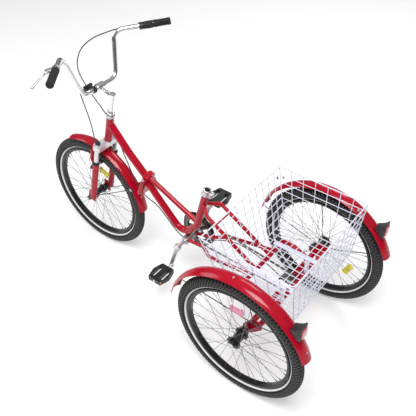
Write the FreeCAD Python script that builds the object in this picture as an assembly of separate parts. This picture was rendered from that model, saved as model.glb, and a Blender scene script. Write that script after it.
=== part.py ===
import FreeCAD, Part

import math
import os

from FreeCAD import Vector

# Adult tricycle with a folding frame, one steered front wheel and two rear
# wheels with a basket between them.  Millimetres, +X forward, +Y to the
# rider's left, +Z up.  The model is laid out from the rear axle and moved at
# the end, so that the origin is under the middle of its bounding box.

# ---- driving dimensions ------------------------------------------------------
WHEELBASE = 1100.0            # rear axle to front axle
HALF_TRACK = 327.0            # centre plane to each rear wheel
TYRE_RADIUS = 303.0           # 24 inch wheels
TYRE_HALF_WIDTH = 22.0
BEAD_RADIUS = 249.0           # where the tyre sits on the rim
RIM_INNER_RADIUS = 233.6
RIM_HALF_WIDTH = 14.0
SPOKES_PER_SIDE = 18
SPOKE_RADIUS = 0.9
FLANGE_SIDE = 28.0            # hub flanges from the wheel's plane
AXLE_RADIUS = 8.0             # rear axles
FRONT_AXLE_RADIUS = 5.0
RUNNING = 0.05                # radial clearance of a running fit
FACE_GAP = 0.3                # gap between faces that slide past each other

STEER_ANGLE = math.radians(75.0)      # steering axis above the horizontal
QUILL_TOP = Vector(903, 0, 926)       # top of the steering axis, on the stem
HEAD_TOP, HEAD_BOTTOM = 122.0, 262.0  # along the steering axis from QUILL_TOP
CROWN_TOP, CROWN_BOTTOM = 269.0, 298.0
LEG_FORE, LEG_SIDE = 8.0, 60.0        # fork legs from the steering axis
UPPER_LEG_RADIUS, LOWER_LEG_RADIUS = 12.0, 15.5
LOWERS_TOP, LOWERS_BOTTOM = 392.0, 632.0
STEERER_RADIUS = 12.7
HEAD_TUBE_RADIUS = 18.0

HINGE = Vector(752, 0, 522)           # middle of the frame hinge's parting plane
HINGE_LEAN = math.radians(20.15)      # how far the parting plane leans back
HINGE_PIN_SIDE = 40.0                 # hinge pin, left of the centre plane
HINGE_PIN_RADIUS = 4.0

BOTTOM_BRACKET = Vector(507, 0, 321)
CRANK_LENGTH = 152.0
CRANK_ANGLE = math.radians(-72.0)     # the left crank, from straight ahead
CRANK_SIDE = 91.0                     # middle of a crank arm
PEDAL_SIDE = 163.0                    # middle of a pedal
SPINDLE_RADIUS = 8.5
PEDAL_SPINDLE_RADIUS = 6.0
CHAIN_SIDE = -58.0
CHAINRING_TEETH, SPROCKET_TEETH = 40, 20
CHAIN_PITCH = 12.7
TENSIONER = Vector(78, 0, 238)        # jockey wheel under the lower chain run
TENSIONER_RADIUS = 16.0

SEAT_TUBE_TOP = Vector(398, 0, 649)
SEAT_TUBE_RADIUS = 17.5
SEATPOST_BORE_RADIUS = 13.6
SEAT_TUBE_LEAN = math.radians(15.25)

BASKET_TOP_Z, BASKET_FLOOR_Z = 686.0, 442.0
BASKET_TOP = (-200.0, 220.0, 278.0)       # back, front, half width at the rim
BASKET_FLOOR = (-184.0, 150.0, 228.0)     # the same at the floor
WIRE = 1.8                                # half the width of a basket wire
SIDE_COLUMNS, END_COLUMNS, WALL_ROWS = 7, 12, 7
FLOOR_COLUMNS, FLOOR_ROWS = 12, 14

BAR_RADIUS = 11.0
GRIP_RADIUS = 16.0
GRIP_LENGTH = 120.0
CLAMP = Vector(973, 0, 946)               # handlebar centre in the stem
BAR_BEND = Vector(970, 98, 948)           # left half of the bar, as its corners
BAR_SHOULDER = Vector(1008, 150, 1135)
BAR_END = Vector(855, 339, 1150)
CABLE_RADIUS = 2.5


# ---- helpers -----------------------------------------------------------------
X_AXIS, Y_AXIS, Z_AXIS = Vector(1, 0, 0), Vector(0, 1, 0), Vector(0, 0, 1)
STEER_DOWN = Vector(math.cos(STEER_ANGLE), 0, -math.sin(STEER_ANGLE))
STEER_FORE = Vector(math.sin(STEER_ANGLE), 0, math.cos(STEER_ANGLE))
HINGE_FORE = Vector(math.cos(HINGE_LEAN), 0, math.sin(HINGE_LEAN))
HINGE_UP = Vector(-math.sin(HINGE_LEAN), 0, math.cos(HINGE_LEAN))
SEAT_UP = Vector(-math.sin(SEAT_TUBE_LEAN), 0, math.cos(SEAT_TUBE_LEAN))
FRONT_AXLE = Vector(WHEELBASE, 0, TYRE_RADIUS)


def steer(along, fore, side):
    """A point by its place along, ahead of and beside the steering axis."""
    return QUILL_TOP + STEER_DOWN * along + STEER_FORE * fore + Y_AXIS * side


def hinge(fore, side, up):
    """A point by its place ahead of, beside and up the hinge's parting plane."""
    return HINGE + HINGE_FORE * fore + Y_AXIS * side + HINGE_UP * up


def unit(v):
    return v * (1.0 / v.Length)


def mirror(p):
    return Vector(p.x, -p.y, p.z)


def rod(a, b, radius):
    return Part.makeCylinder(radius, (b - a).Length, a, b - a)


def pipe(a, b, radius, bore):
    reach = unit(b - a)
    return rod(a, b, radius).cut(rod(a - reach, b + reach, bore))


def ring(centre, axis, radius, bore, width):
    half = unit(axis) * (width / 2)
    return pipe(centre - half, centre + half, radius, bore)


def disc(centre, axis, radius, width):
    half = unit(axis) * (width / 2)
    return rod(centre - half, centre + half, radius)


def block(centre, size, x_axis=X_AXIS, z_axis=Z_AXIS):
    """A box about its centre, turned to the given directions."""
    shape = Part.makeBox(*size, Vector(-size[0] / 2, -size[1] / 2, -size[2] / 2))
    turn = FreeCAD.Rotation(x_axis, z_axis.cross(x_axis), z_axis, "ZXY")
    shape.Placement = FreeCAD.Placement(centre, turn)
    return shape


def fuse(shapes):
    return shapes[0].multiFuse(shapes[1:]).removeSplitter()


def cut(shape, tools):
    for tool in tools:
        shape = shape.cut(tool)
    return shape


def group(shapes):
    solids = []
    for shape in shapes:
        solids.extend(shape.Solids)
    return Part.makeCompound(solids)


def bent_path(points, radii):
    """Straight runs through the points, joined by tangent arcs."""
    edges = []
    start = points[0]
    for i, radius in enumerate(radii, start=1):
        corner = points[i]
        before = unit(corner - points[i - 1])
        after = unit(points[i + 1] - corner)
        half_turn = before.getAngle(after) / 2
        setback = radius * math.tan(half_turn)
        leave = corner - before * setback
        join = corner + after * setback
        middle = corner + unit(after - before) * (radius / math.cos(half_turn) - radius)
        edges.append(Part.LineSegment(start, leave).toShape())
        edges.append(Part.Arc(leave, middle, join).toShape())
        start = join
    edges.append(Part.LineSegment(start, points[-1]).toShape())
    return Part.Wire(edges)


def bent_rod(points, radius, bend):
    path = bent_path(points, [bend] * (len(points) - 2))
    circle = Part.makeCircle(radius, points[0], points[1] - points[0])
    return path.makePipe(Part.Face(Part.Wire(circle)))


def bent_tube(points, radius, wall, bend):
    return bent_rod(points, radius, bend).cut(bent_rod(points, radius - wall, bend))


def cable(name, points):
    """A cable whose bends are as wide as its runs allow."""
    radii = []
    for before, corner, after in zip(points, points[1:], points[2:]):
        half_turn = (corner - before).getAngle(after - corner) / 2
        shorter = min((corner - before).Length, (after - corner).Length)
        radii.append(0.45 * shorter / math.tan(half_turn))
    print(name, "bend radii", [round(r) for r in radii])
    path = bent_path(points, radii)
    circle = Part.makeCircle(CABLE_RADIUS, points[0], points[1] - points[0])
    shape = path.makePipe(Part.Face(Part.Wire(circle)))
    expected = path.Length * math.pi * CABLE_RADIUS ** 2
    print(name, "length", round(path.Length), "volume ratio", round(shape.Volume / expected, 4))
    return shape


def revolve(edges, centre, start=0.0, sweep=360.0):
    """Turns a section, drawn as (radius, side), about the wheel axis."""
    face = Part.Face(Part.Wire(edges))
    face.translate(centre)
    shape = face.revolve(centre, Y_AXIS, sweep)
    shape.rotate(centre, Y_AXIS, start)
    return shape


def section_point(radius, side):
    return Vector(radius, side, 0)


def section_line(a, b):
    return Part.LineSegment(section_point(*a), section_point(*b)).toShape()


def section_arc(a, middle, b):
    return Part.Arc(section_point(*a), section_point(*middle), section_point(*b)).toShape()


def section_polygon(points):
    return [section_line(a, b) for a, b in zip(points, points[1:] + points[:1])]


def pitch_radius(teeth):
    return CHAIN_PITCH / (2 * math.sin(math.pi / teeth))


# ---- wheels ------------------------------------------------------------------
def tyre(centre):
    r, w, wall = TYRE_RADIUS, TYRE_HALF_WIDTH, 4.0
    bead, lip = BEAD_RADIUS, 12.0
    belly, shoulder = 268.0, 292.0
    tread = w - 1.5
    outer = [
        section_arc((bead, -lip), (belly, -w), (shoulder, -tread)),
        section_arc((shoulder, -tread), (r, 0), (shoulder, tread)),
        section_arc((shoulder, tread), (belly, w), (bead, lip)),
    ]
    inner = [
        section_line((bead, lip), (bead, lip - wall)),
        section_arc((bead, lip - wall), (belly, w - wall), (shoulder - 2, tread - wall)),
        section_arc((shoulder - 2, tread - wall), (r - 6, 0), (shoulder - 2, wall - tread)),
        section_arc((shoulder - 2, wall - tread), (belly, wall - w), (bead, wall - lip)),
        section_line((bead, wall - lip), (bead, -lip)),
    ]
    return revolve(outer + inner, centre)


def rim(centre):
    top, well, wall = BEAD_RADIUS - 0.2, RIM_INNER_RADIUS, 2.2
    w, floor = RIM_HALF_WIDTH, 8.0
    points = [
        (well, -floor), (well, floor), (240, w), (top, w), (top, w - wall),
        (240 + wall, w - wall), (well + wall, floor - wall), (well + wall, wall - floor),
        (240 + wall, wall - w), (top, wall - w), (top, -w), (240, -w),
    ]
    return revolve(section_polygon(points), centre)


def hub(centre, inside, outside, barrel, flange, bore, drum=0.0):
    """A hub whose ends lie inside and outside of the wheel's plane, along +Y."""
    low, high = centre + Y_AXIS * inside, centre + Y_AXIS * outside
    body = rod(low, high, barrel)
    flanges = [disc(centre + Y_AXIS * side, Y_AXIS, flange, 3.0) for side in (-FLANGE_SIDE, FLANGE_SIDE)]
    if drum:
        flanges.append(rod(high - Y_AXIS * 6, high, drum))
    return fuse([body] + flanges).cut(rod(low - Y_AXIS, high + Y_AXIS, bore))


def spokes(centre, flange):
    """Three-cross spokes, from both flanges to the rim."""
    wires = []
    step = 2 * math.pi / SPOKES_PER_SIDE
    cross = math.radians(60.0)
    for side in (-1, 1):
        for i in range(SPOKES_PER_SIDE):
            lean = 1 if i % 2 else -1
            at_hub = step * i + side * step / 4
            at_rim = at_hub + lean * cross
            hub_end = Vector(math.cos(at_hub), 0, math.sin(at_hub)) * (flange + 0.6)
            rim_end = Vector(math.cos(at_rim), 0, math.sin(at_rim)) * (RIM_INNER_RADIUS - 0.4)
            hub_end.y = side * (FLANGE_SIDE + 3 * lean)
            rim_end.y = side * 3.0
            wires.append(rod(centre + hub_end, centre + rim_end, SPOKE_RADIUS))
    return group(wires)


def wheel(name, centre, hub_ends, barrel, flange, bore, drum=0.0):
    return {
        name + "_tyre": tyre(centre),
        name + "_rim": rim(centre),
        name + "_hub": hub(centre, hub_ends[0], hub_ends[1], barrel, flange, bore, drum),
        name + "_spokes": spokes(centre, flange),
    }


# ---- front half of the frame -------------------------------------------------
PLATE_THICKNESS = 12.0
PLATE_FACE = PLATE_THICKNESS + FACE_GAP / 2     # outer face from the parting plane
MAIN_TUBE_RADIUS = 17.5
MAIN_TUBE = [hinge(0, 0, 29), Vector(848, 0, 652), steer(163, 0, 0)]


def head_tube():
    return pipe(steer(HEAD_TOP, 0, 0), steer(HEAD_BOTTOM, 0, 0), HEAD_TUBE_RADIUS, 15.0)


def headset():
    """Upper and lower bearing cups, pressed to the ends of the head tube."""
    bore = STEERER_RADIUS + RUNNING
    upper = pipe(steer(HEAD_TOP - 16, 0, 0), steer(HEAD_TOP, 0, 0), 20.0, bore)
    lower = pipe(steer(HEAD_BOTTOM, 0, 0), steer(CROWN_TOP - FACE_GAP, 0, 0), 20.0, bore)
    return group([upper, lower])


def main_tube():
    shape = bent_tube(MAIN_TUBE, MAIN_TUBE_RADIUS, 2.0, 300)
    head = rod(steer(HEAD_TOP, 0, 0), steer(HEAD_BOTTOM, 0, 0), HEAD_TUBE_RADIUS)
    beyond = block(steer(190, 40, 0), (80, 90, 160), STEER_FORE, STEER_DOWN * -1)
    behind = block(hinge(-100 + PLATE_FACE, 0, 0), (200, 200, 300), HINGE_FORE, HINGE_UP)
    return cut(shape, [head, beyond, behind]).Solids[0]


PLATE_HEIGHT = 122.0
PLATE_RIGHT, PLATE_LEFT = -32.0, 29.0
KNUCKLE_RADIUS = 9.0
KNUCKLE_SPLIT = 18.0       # the front knuckle's half length


def hinge_plate(direction, knuckles):
    """A forged half of the frame hinge; direction is 1 for the front half."""
    gap = FACE_GAP / 2
    width = PLATE_LEFT - PLATE_RIGHT
    middle = hinge(direction * (gap + PLATE_THICKNESS / 2), (PLATE_LEFT + PLATE_RIGHT) / 2, 0)
    plate = block(middle, (PLATE_THICKNESS, width, PLATE_HEIGHT), HINGE_FORE, HINGE_UP)
    rounding = [e for e in plate.Edges if abs(unit(e.tangentAt(e.FirstParameter)).dot(HINGE_FORE)) > 0.99]
    pieces = [plate.makeFillet(14, rounding)]
    for low, high in knuckles:
        bottom = hinge(0, HINGE_PIN_SIDE, low)
        top = hinge(0, HINGE_PIN_SIDE, high)
        pieces.append(rod(bottom, top, KNUCKLE_RADIUS))
        lug = hinge(direction * (gap + 4), (PLATE_LEFT + HINGE_PIN_SIDE) / 2 - 2, (low + high) / 2)
        pieces.append(block(lug, (8, HINGE_PIN_SIDE - PLATE_LEFT + 4, high - low), HINGE_FORE, HINGE_UP))
    bore = rod(hinge(0, HINGE_PIN_SIDE, -70), hinge(0, HINGE_PIN_SIDE, 70), HINGE_PIN_RADIUS)
    return fuse(pieces).cut(bore)


def front_hinge_plate():
    return hinge_plate(1, [(-KNUCKLE_SPLIT, KNUCKLE_SPLIT)])


def rear_hinge_plate():
    inner, outer = KNUCKLE_SPLIT + FACE_GAP, 42.0
    plate = hinge_plate(-1, [(-outer, -inner), (inner, outer)])
    bore = rod(hinge(0, HINGE_PIN_SIDE, -70), hinge(0, HINGE_PIN_SIDE, 70), HINGE_PIN_RADIUS + RUNNING)
    return plate.cut(bore)


def hinge_pin():
    """The pin turns with the front half and has a head at each end."""
    end = 42.0 + FACE_GAP
    low, high = hinge(0, HINGE_PIN_SIDE, -end), hinge(0, HINGE_PIN_SIDE, end)
    heads = [rod(low - HINGE_UP * 4, low, 7.0), rod(high, high + HINGE_UP * 4, 7.0)]
    return fuse([rod(low, high, HINGE_PIN_RADIUS)] + heads)


LATCH_FORE, LATCH_SIDE = 22.0, -41.0


def latch_boss():
    """The ears on the front half that hold the latch lever's pivot."""
    ears = []
    for low, high in ((-31, -22), (22, 31)):
        ear = block(hinge(LATCH_FORE - 7, LATCH_SIDE + 7, (low + high) / 2), (26, 10, high - low),
                    HINGE_FORE, HINGE_UP)
        ears.append(ear)
    pivot = rod(hinge(LATCH_FORE, LATCH_SIDE + 5, -31), hinge(LATCH_FORE, LATCH_SIDE + 5, 31), 3.0)
    return ears, pivot


def front_plate_with_latch():
    ears, pivot = latch_boss()
    return fuse([front_hinge_plate()] + ears + [pivot])


def hinge_lever():
    """The latch: a curved blade with a cam that closes over the rear half."""
    centre = Vector(LATCH_FORE, LATCH_SIDE + 5, 0)
    cam = rod(hinge(centre.x, centre.y, -21.5), hinge(centre.x, centre.y, 21.5), 8.0)
    points = [hinge(centre.x, centre.y - 4, 0), hinge(-4, centre.y - 14, 0), hinge(-24, centre.y - 13, -24),
              hinge(-34, centre.y - 12, -70)]
    blade = bent_rod(points, 5.5, 16)
    bore = rod(hinge(centre.x, centre.y, -24), hinge(centre.x, centre.y, 24), 3.0 + RUNNING)
    return fuse([cam, blade]).cut(bore)


# ---- steering ----------------------------------------------------------------
def fork_crown():
    """Steerer, crown and the two upper fork tubes, pressed into one."""
    crown = block(steer((CROWN_TOP + CROWN_BOTTOM) / 2, 6, 0), (40, 156, CROWN_BOTTOM - CROWN_TOP),
                  STEER_FORE, STEER_DOWN * -1)
    edges = [e for e in crown.Edges if abs(unit(e.tangentAt(e.FirstParameter)).dot(STEER_DOWN)) > 0.99]
    crown = crown.makeFillet(16, edges)
    steerer = rod(steer(HEAD_TOP - 20, 0, 0), steer(CROWN_TOP, 0, 0), STEERER_RADIUS)
    pieces = [crown, steerer]
    for side in (-LEG_SIDE, LEG_SIDE):
        foot = steer(LOWERS_TOP + 80, LEG_FORE, side)
        pieces.append(rod(steer(CROWN_TOP - 8, LEG_FORE, side), foot, UPPER_LEG_RADIUS))
    bores = [rod(steer(HEAD_TOP + 20, 0, 0), steer(CROWN_TOP, 0, 0), STEERER_RADIUS - 2.2)]
    for side in (-LEG_SIDE, LEG_SIDE):
        foot = steer(LOWERS_TOP + 90, LEG_FORE, side)
        bores.append(rod(steer(CROWN_TOP, LEG_FORE, side), foot, UPPER_LEG_RADIUS - 2))
    return cut(fuse(pieces), bores)


def stem():
    """Quill stem with the handlebar clamp ahead of it."""
    quill = rod(steer(-6, 0, 0), steer(HEAD_TOP - 20, 0, 0), BAR_RADIUS)
    collar = rod(steer(-8, 0, 0), steer(20, 0, 0), 13.5)
    reach = rod(steer(8, 0, 0), CLAMP, 10.0)
    clamp = disc(CLAMP, Y_AXIS, 17.0, 38.0)
    bolt = rod(CLAMP + Vector(16, 0, -22), CLAMP + Vector(16, 0, 6), 4.5)
    locknut = rod(steer(HEAD_TOP - 20, 0, 0), steer(HEAD_TOP - 30, 0, 0), 17.0)
    body = fuse([quill, collar, reach, clamp, bolt, locknut])
    return body.cut(disc(CLAMP, Y_AXIS, BAR_RADIUS, 60.0))


def bar_corners():
    left = [BAR_BEND, BAR_SHOULDER, BAR_END]
    right = [mirror(p) for p in reversed(left)]
    return right + left


def handlebar():
    points = bar_corners()
    points[2:4] = [Vector(CLAMP.x, -BAR_BEND.y, CLAMP.z), Vector(CLAMP.x, BAR_BEND.y, CLAMP.z)]
    return bent_tube(points, BAR_RADIUS, 1.6, 46)


def grip_line(side):
    end, shoulder = BAR_END, BAR_SHOULDER
    if side < 0:
        end, shoulder = mirror(end), mirror(shoulder)
    return end, unit(shoulder - end)


def grips():
    shapes = []
    for side in (-1, 1):
        end, inward = grip_line(side)
        length = GRIP_LENGTH if side > 0 else GRIP_LENGTH - TWIST_LENGTH
        sleeve = pipe(end, end + inward * length, GRIP_RADIUS, BAR_RADIUS)
        cap = rod(end - inward * 4, end, GRIP_RADIUS)
        shapes.append(fuse([sleeve, cap]))
    return group(shapes)


LEVER_CLAMP = GRIP_LENGTH + 14.0       # along the left grip's line from its end
LEVER_PIVOT_OUT = 34.0                 # lever pivot ahead of the bar's axis


def lever_frame():
    """Left bar: end point, inward direction and the direction of the lever."""
    end, inward = grip_line(1)
    outward = unit(Z_AXIS.cross(inward) * -1)
    ahead = outward if outward.x > 0 else outward * -1
    ahead = unit(ahead - Z_AXIS * 0.30)
    return end, inward, ahead


def lever_pivot():
    end, inward, ahead = lever_frame()
    return end + inward * LEVER_CLAMP + ahead * LEVER_PIVOT_OUT


def lever_axis():
    _, inward, ahead = lever_frame()
    return unit(inward.cross(ahead))


def brake_bracket():
    end, inward, ahead = lever_frame()
    centre = end + inward * LEVER_CLAMP
    clamp = ring(centre, inward, 15.5, BAR_RADIUS, 18.0)
    up = lever_axis()
    pivot = lever_pivot()
    cheeks = []
    for way in (-1, 1):
        middle = centre + ahead * (LEVER_PIVOT_OUT / 2 + 8) + up * (way * 7.0)
        cheeks.append(block(middle, (LEVER_PIVOT_OUT + 2, 16, 4.0), ahead, up))
    pin = rod(pivot - up * 9, pivot + up * 9, 3.0)
    barrel_start = centre + ahead * 17 + inward * 8
    barrel = rod(barrel_start, barrel_start + inward * 24, 5.0)
    web = block(centre + ahead * 15 + inward * 2, (8, 16, 16), ahead, up)
    return fuse([clamp] + cheeks + [pin, web, barrel]).cut(disc(centre, inward, BAR_RADIUS, 60.0))


def brake_lever():
    end, inward, ahead = lever_frame()
    up = lever_axis()
    pivot = lever_pivot()
    eye = disc(pivot, up, 7.5, 9.4)
    tip = end + inward * 22 + ahead * 76
    elbow = end + inward * 105 + ahead * 48
    blade = bent_rod([pivot, elbow, tip], 4.4, 60)
    ball = Part.makeSphere(8.0, tip)
    return fuse([eye, blade, ball]).cut(rod(pivot - up * 12, pivot + up * 12, 3.0 + RUNNING))


TWIST_LENGTH = 47.0                    # the turning part of the right grip
COLLAR_WIDTH = 14.0


def shifter_frame():
    """Right bar: the shifter collar's centre, inward and forward directions."""
    end, inward = grip_line(-1)
    return end + inward * (GRIP_LENGTH + COLLAR_WIDTH / 2), inward, unit(inward.cross(Z_AXIS))


def shifter_body():
    """The fixed collar of the twist shifter, with the cable's outlet in front."""
    centre, inward, ahead = shifter_frame()
    clamp = ring(centre, inward, GRIP_RADIUS, BAR_RADIUS, COLLAR_WIDTH)
    outlet = rod(centre + ahead * 15, centre + ahead * 15 + inward * 16, 4.5)
    return fuse([clamp, outlet]).cut(disc(centre, inward, BAR_RADIUS, 60.0))


def twist_sleeve():
    """The sleeve between the right grip and the collar, turned to shift."""
    end, inward = grip_line(-1)
    start = end + inward * (GRIP_LENGTH - TWIST_LENGTH + FACE_GAP)
    stop = end + inward * (GRIP_LENGTH - FACE_GAP)
    return pipe(start, stop, GRIP_RADIUS + 0.5, BAR_RADIUS + RUNNING)


def reflector_bracket():
    """Front reflector on a clamp beside the stem."""
    centre = CLAMP + Y_AXIS * 38
    clamp = ring(centre, Y_AXIS, 15.0, BAR_RADIUS, 14.0)
    arm = block(centre + Vector(22, 0, -4), (20, 12, 8))
    face = block(centre + Vector(35, 0, -4), (9, 46, 32))
    return fuse([clamp, arm, face]).cut(disc(centre, Y_AXIS, BAR_RADIUS, 40.0))


# ---- suspension fork's lower half --------------------------------------------
AXLE_ALONG = (FRONT_AXLE - QUILL_TOP).dot(STEER_DOWN)
AXLE_FORE = (FRONT_AXLE - QUILL_TOP).dot(STEER_FORE)
BRAKE_PIVOT_ALONG = 440.0
BRAKE_PIVOT_SIDE = 57.0
BRAKE_FORE = 33.0


def fork_lowers():
    bore = UPPER_LEG_RADIUS + RUNNING
    pieces = []
    for side in (-LEG_SIDE, LEG_SIDE):
        leg = rod(steer(LOWERS_TOP, LEG_FORE, side), steer(LOWERS_BOTTOM, LEG_FORE, side), LOWER_LEG_RADIUS)
        inward = side - math.copysign(7, side)
        dropout = block(steer(AXLE_ALONG - 12, (LEG_FORE + AXLE_FORE) / 2 + 4, inward), (42, 6, 54),
                        STEER_FORE, STEER_DOWN * -1)
        post = rod(steer(BRAKE_PIVOT_ALONG, LEG_FORE, math.copysign(BRAKE_PIVOT_SIDE, side)),
                   steer(BRAKE_PIVOT_ALONG, BRAKE_FORE + 6, math.copysign(BRAKE_PIVOT_SIDE, side)), 4.0)
        pieces += [leg, dropout, post]
    arch_top, arch_fore = 312.0, 38.0
    arch = [steer(410, LEG_FORE + 4, -LEG_SIDE), steer(378, arch_fore, -LEG_SIDE),
            steer(arch_top, arch_fore, -LEG_SIDE), steer(arch_top, arch_fore, LEG_SIDE),
            steer(378, arch_fore, LEG_SIDE), steer(410, LEG_FORE + 4, LEG_SIDE)]
    pieces.append(bent_rod(arch, 8.0, 18))
    bores = []
    for side in (-LEG_SIDE, LEG_SIDE):
        mouth = steer(LOWERS_TOP - 20, LEG_FORE, side)
        bores.append(rod(mouth, steer(LOWERS_BOTTOM - 30, LEG_FORE, side), bore))
    bores.append(disc(FRONT_AXLE, Y_AXIS, FRONT_AXLE_RADIUS, 200))
    return cut(fuse(pieces), bores)


def front_axle():
    axle = disc(FRONT_AXLE, Y_AXIS, FRONT_AXLE_RADIUS, 152)
    pieces = [axle]
    for side in (-1, 1):
        nut = disc(FRONT_AXLE + Y_AXIS * (side * 64.4), Y_AXIS, 10.0, 16.0)
        pieces.append(nut)
    return fuse(pieces)


def brake_arm(side):
    """One arm of the rim brake with its pad, on a post ahead of the fork leg."""
    pivot = steer(BRAKE_PIVOT_ALONG, BRAKE_FORE, side * BRAKE_PIVOT_SIDE)
    top = steer(334, BRAKE_FORE, side * 40)
    knee = steer(404, BRAKE_FORE, side * 48)
    eye = disc(pivot, STEER_FORE, 9.0, 9.0)
    upper = block((top + knee) * 0.5, (8, 9, (top - knee).Length + 8), STEER_FORE, unit(top - knee))
    lower = block((knee + pivot) * 0.5, (8, 10, (pivot - knee).Length + 6), STEER_FORE, unit(knee - pivot))
    pad_along = AXLE_ALONG - 241.0
    stud = rod(steer(pad_along, BRAKE_FORE, side * 50), steer(pad_along, BRAKE_FORE, side * 24), 3.0)
    pad = block(steer(pad_along, BRAKE_FORE - 4, side * 21), (50, 9, 9), STEER_FORE, STEER_DOWN * -1)
    return fuse([eye, upper, lower, stud, pad]).cut(disc(pivot, STEER_FORE, 4.0 + RUNNING, 40))


# ---- fenders -----------------------------------------------------------------
FENDER_SHEET = 1.6


def fender(centre, crown, half_width, drop, start, end):
    """A curved mudguard between two angles, measured up from straight ahead."""
    outer = [(crown - drop, -half_width), (crown, 0), (crown - drop, half_width)]
    inner = [(r - FENDER_SHEET, side * (1 - FENDER_SHEET / half_width)) for r, side in outer]
    edges = [
        section_arc(*outer),
        section_line(outer[2], inner[2]),
        section_arc(inner[2], inner[1], inner[0]),
        section_line(inner[0], outer[0]),
    ]
    return revolve(edges, centre, -end, end - start)


FRONT_FENDER = (318.0, 27.0, 9.0)
REAR_FENDER = (337.0, 30.0, 12.0)
REAR_FENDER_START, REAR_FENDER_END = 14.0, 161.0


def wheel_centre(side):
    return Vector(0, side * HALF_TRACK, TYRE_RADIUS)


def on_circle(centre, radius, degrees):
    angle = math.radians(degrees)
    return centre + Vector(math.cos(angle), 0, math.sin(angle)) * radius


def front_fender():
    return fender(FRONT_AXLE, *FRONT_FENDER, 66.0, 175.0)


def front_fender_stays():
    """Two wire stays from the fork ends to the rear edge of the front fender."""
    wires = []
    for side in (-1, 1):
        foot = FRONT_AXLE + Vector(-30, side * 39.5, 12)
        tip = on_circle(FRONT_AXLE, 306.5, 150.0) + Y_AXIS * (side * 29.5)
        wires.append(rod(foot, tip, 2.0))
    return group(wires)


def rear_fender(side):
    return fender(wheel_centre(side), *REAR_FENDER, REAR_FENDER_START, REAR_FENDER_END)


def fender_stays():
    """Three wire stays from each axle plate to the fender's inner edge."""
    wires = []
    crown, half_width, drop = REAR_FENDER
    for side in (-1, 1):
        centre = wheel_centre(side)
        for degrees, foot_x in ((20, 14), (88, 0), (155, -14)):
            tip = on_circle(centre, crown - drop - 3, degrees)
            tip.y = side * (HALF_TRACK - half_width - 3.5)
            foot = Vector(foot_x - 34, side * (PLATE_SIDE + 5.6), TYRE_RADIUS + 52)
            wires.append(rod(foot, tip, 2.2))
    return group(wires)


TAIL_OUTLINE = [(-236, 548), (-262, 522), (-284, 518), (-284, 580), (-262, 584)]
TAIL_HALF_WIDTH = 28.0


def tail_reflectors():
    """A wedge bracket with a lens facing back, on each rear fender's crown."""
    shapes = []
    for side in (-1, 1):
        y = side * HALF_TRACK
        points = [Vector(x, y - TAIL_HALF_WIDTH, z) for x, z in TAIL_OUTLINE + TAIL_OUTLINE[:1]]
        housing = Part.Face(Part.makePolygon(points)).extrude(Vector(0, 2 * TAIL_HALF_WIDTH, 0))
        lens = block(Vector(-287, y, 549), (6, 48, 52))
        foot = rod(Vector(-255, y, 542), on_circle(wheel_centre(side), REAR_FENDER[0] - 1, 137.0), 8.0)
        body = fuse([housing, lens, foot]).cut(rear_fender(side))
        shapes.append(max(body.Solids, key=lambda solid: solid.Volume))
    return group(shapes)


# ---- rear half of the frame --------------------------------------------------
LOWER_TUBE_RADIUS, UPPER_TUBE_RADIUS = 16.5, 12.0
SEAT_TUBE_FOOT = SEAT_TUBE_TOP - SEAT_UP * 185.0
LOWER_TUBE = [hinge(0, 0, 10), Vector(698, 0, 474), Vector(548, 0, 314),
              SEAT_TUBE_TOP - SEAT_UP * 244.0, SEAT_TUBE_FOOT]
UPPER_TUBE = [hinge(0, 0, 44), SEAT_TUBE_TOP - SEAT_UP * 224.0]
SHELL_RADIUS, SHELL_HALF = 21.0, 34.0
STAY_RADIUS = 8.5
FRONT_BEAM = (104.0, 402.0)               # x and z of the front cross beam
REAR_BEAM = (-50.0, 341.0)                # x and z of the rear cross beam
BEAM_RADIUS = 11.5
RAIL_SIDE = 168.0                         # side rails from the centre plane
PLATE_SIDE = 262.0


def ahead_of_hinge():
    """The space from the rear hinge plate's outer face forward."""
    return block(hinge(100 - PLATE_FACE, 0, 0), (200, 200, 300), HINGE_FORE, HINGE_UP)


def lower_tube():
    shell = disc(BOTTOM_BRACKET, Y_AXIS, SHELL_RADIUS, 80)
    return cut(bent_tube(LOWER_TUBE, LOWER_TUBE_RADIUS, 2.0, 58), [shell, ahead_of_hinge()]).Solids[0]


def upper_tube():
    tube = pipe(UPPER_TUBE[0], UPPER_TUBE[1], UPPER_TUBE_RADIUS, UPPER_TUBE_RADIUS - 1.8)
    pieces = cut(tube, [bent_rod(LOWER_TUBE, LOWER_TUBE_RADIUS, 58), ahead_of_hinge()]).Solids
    return max(pieces, key=lambda solid: solid.Volume)


def seat_tube():
    return pipe(SEAT_TUBE_FOOT, SEAT_TUBE_TOP, SEAT_TUBE_RADIUS, SEATPOST_BORE_RADIUS)


def seat_clamp():
    """Split collar at the top of the seat tube, with its pinch bolts."""
    centre = SEAT_TUBE_TOP - SEAT_UP * 13
    collar = ring(centre, SEAT_UP, SEAT_TUBE_RADIUS + 4.5, SEAT_TUBE_RADIUS, 24.0)
    across = Y_AXIS.cross(SEAT_UP)
    ears = block(centre + across * -25, (14, 20, 22), across, SEAT_UP)
    slot = block(centre + across * -25, (30, 3, 30), across, SEAT_UP)
    body = fuse([collar, ears]).cut(slot)
    bore = rod(SEAT_TUBE_FOOT, SEAT_TUBE_TOP + SEAT_UP * 20, SEAT_TUBE_RADIUS)
    bolts = []
    for up in (-5, 5):
        at = centre + across * -27 + SEAT_UP * up
        bolts.append(rod(at - Y_AXIS * 15, at + Y_AXIS * 15, 2.6))
    return fuse([body.cut(bore)] + bolts)


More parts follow.
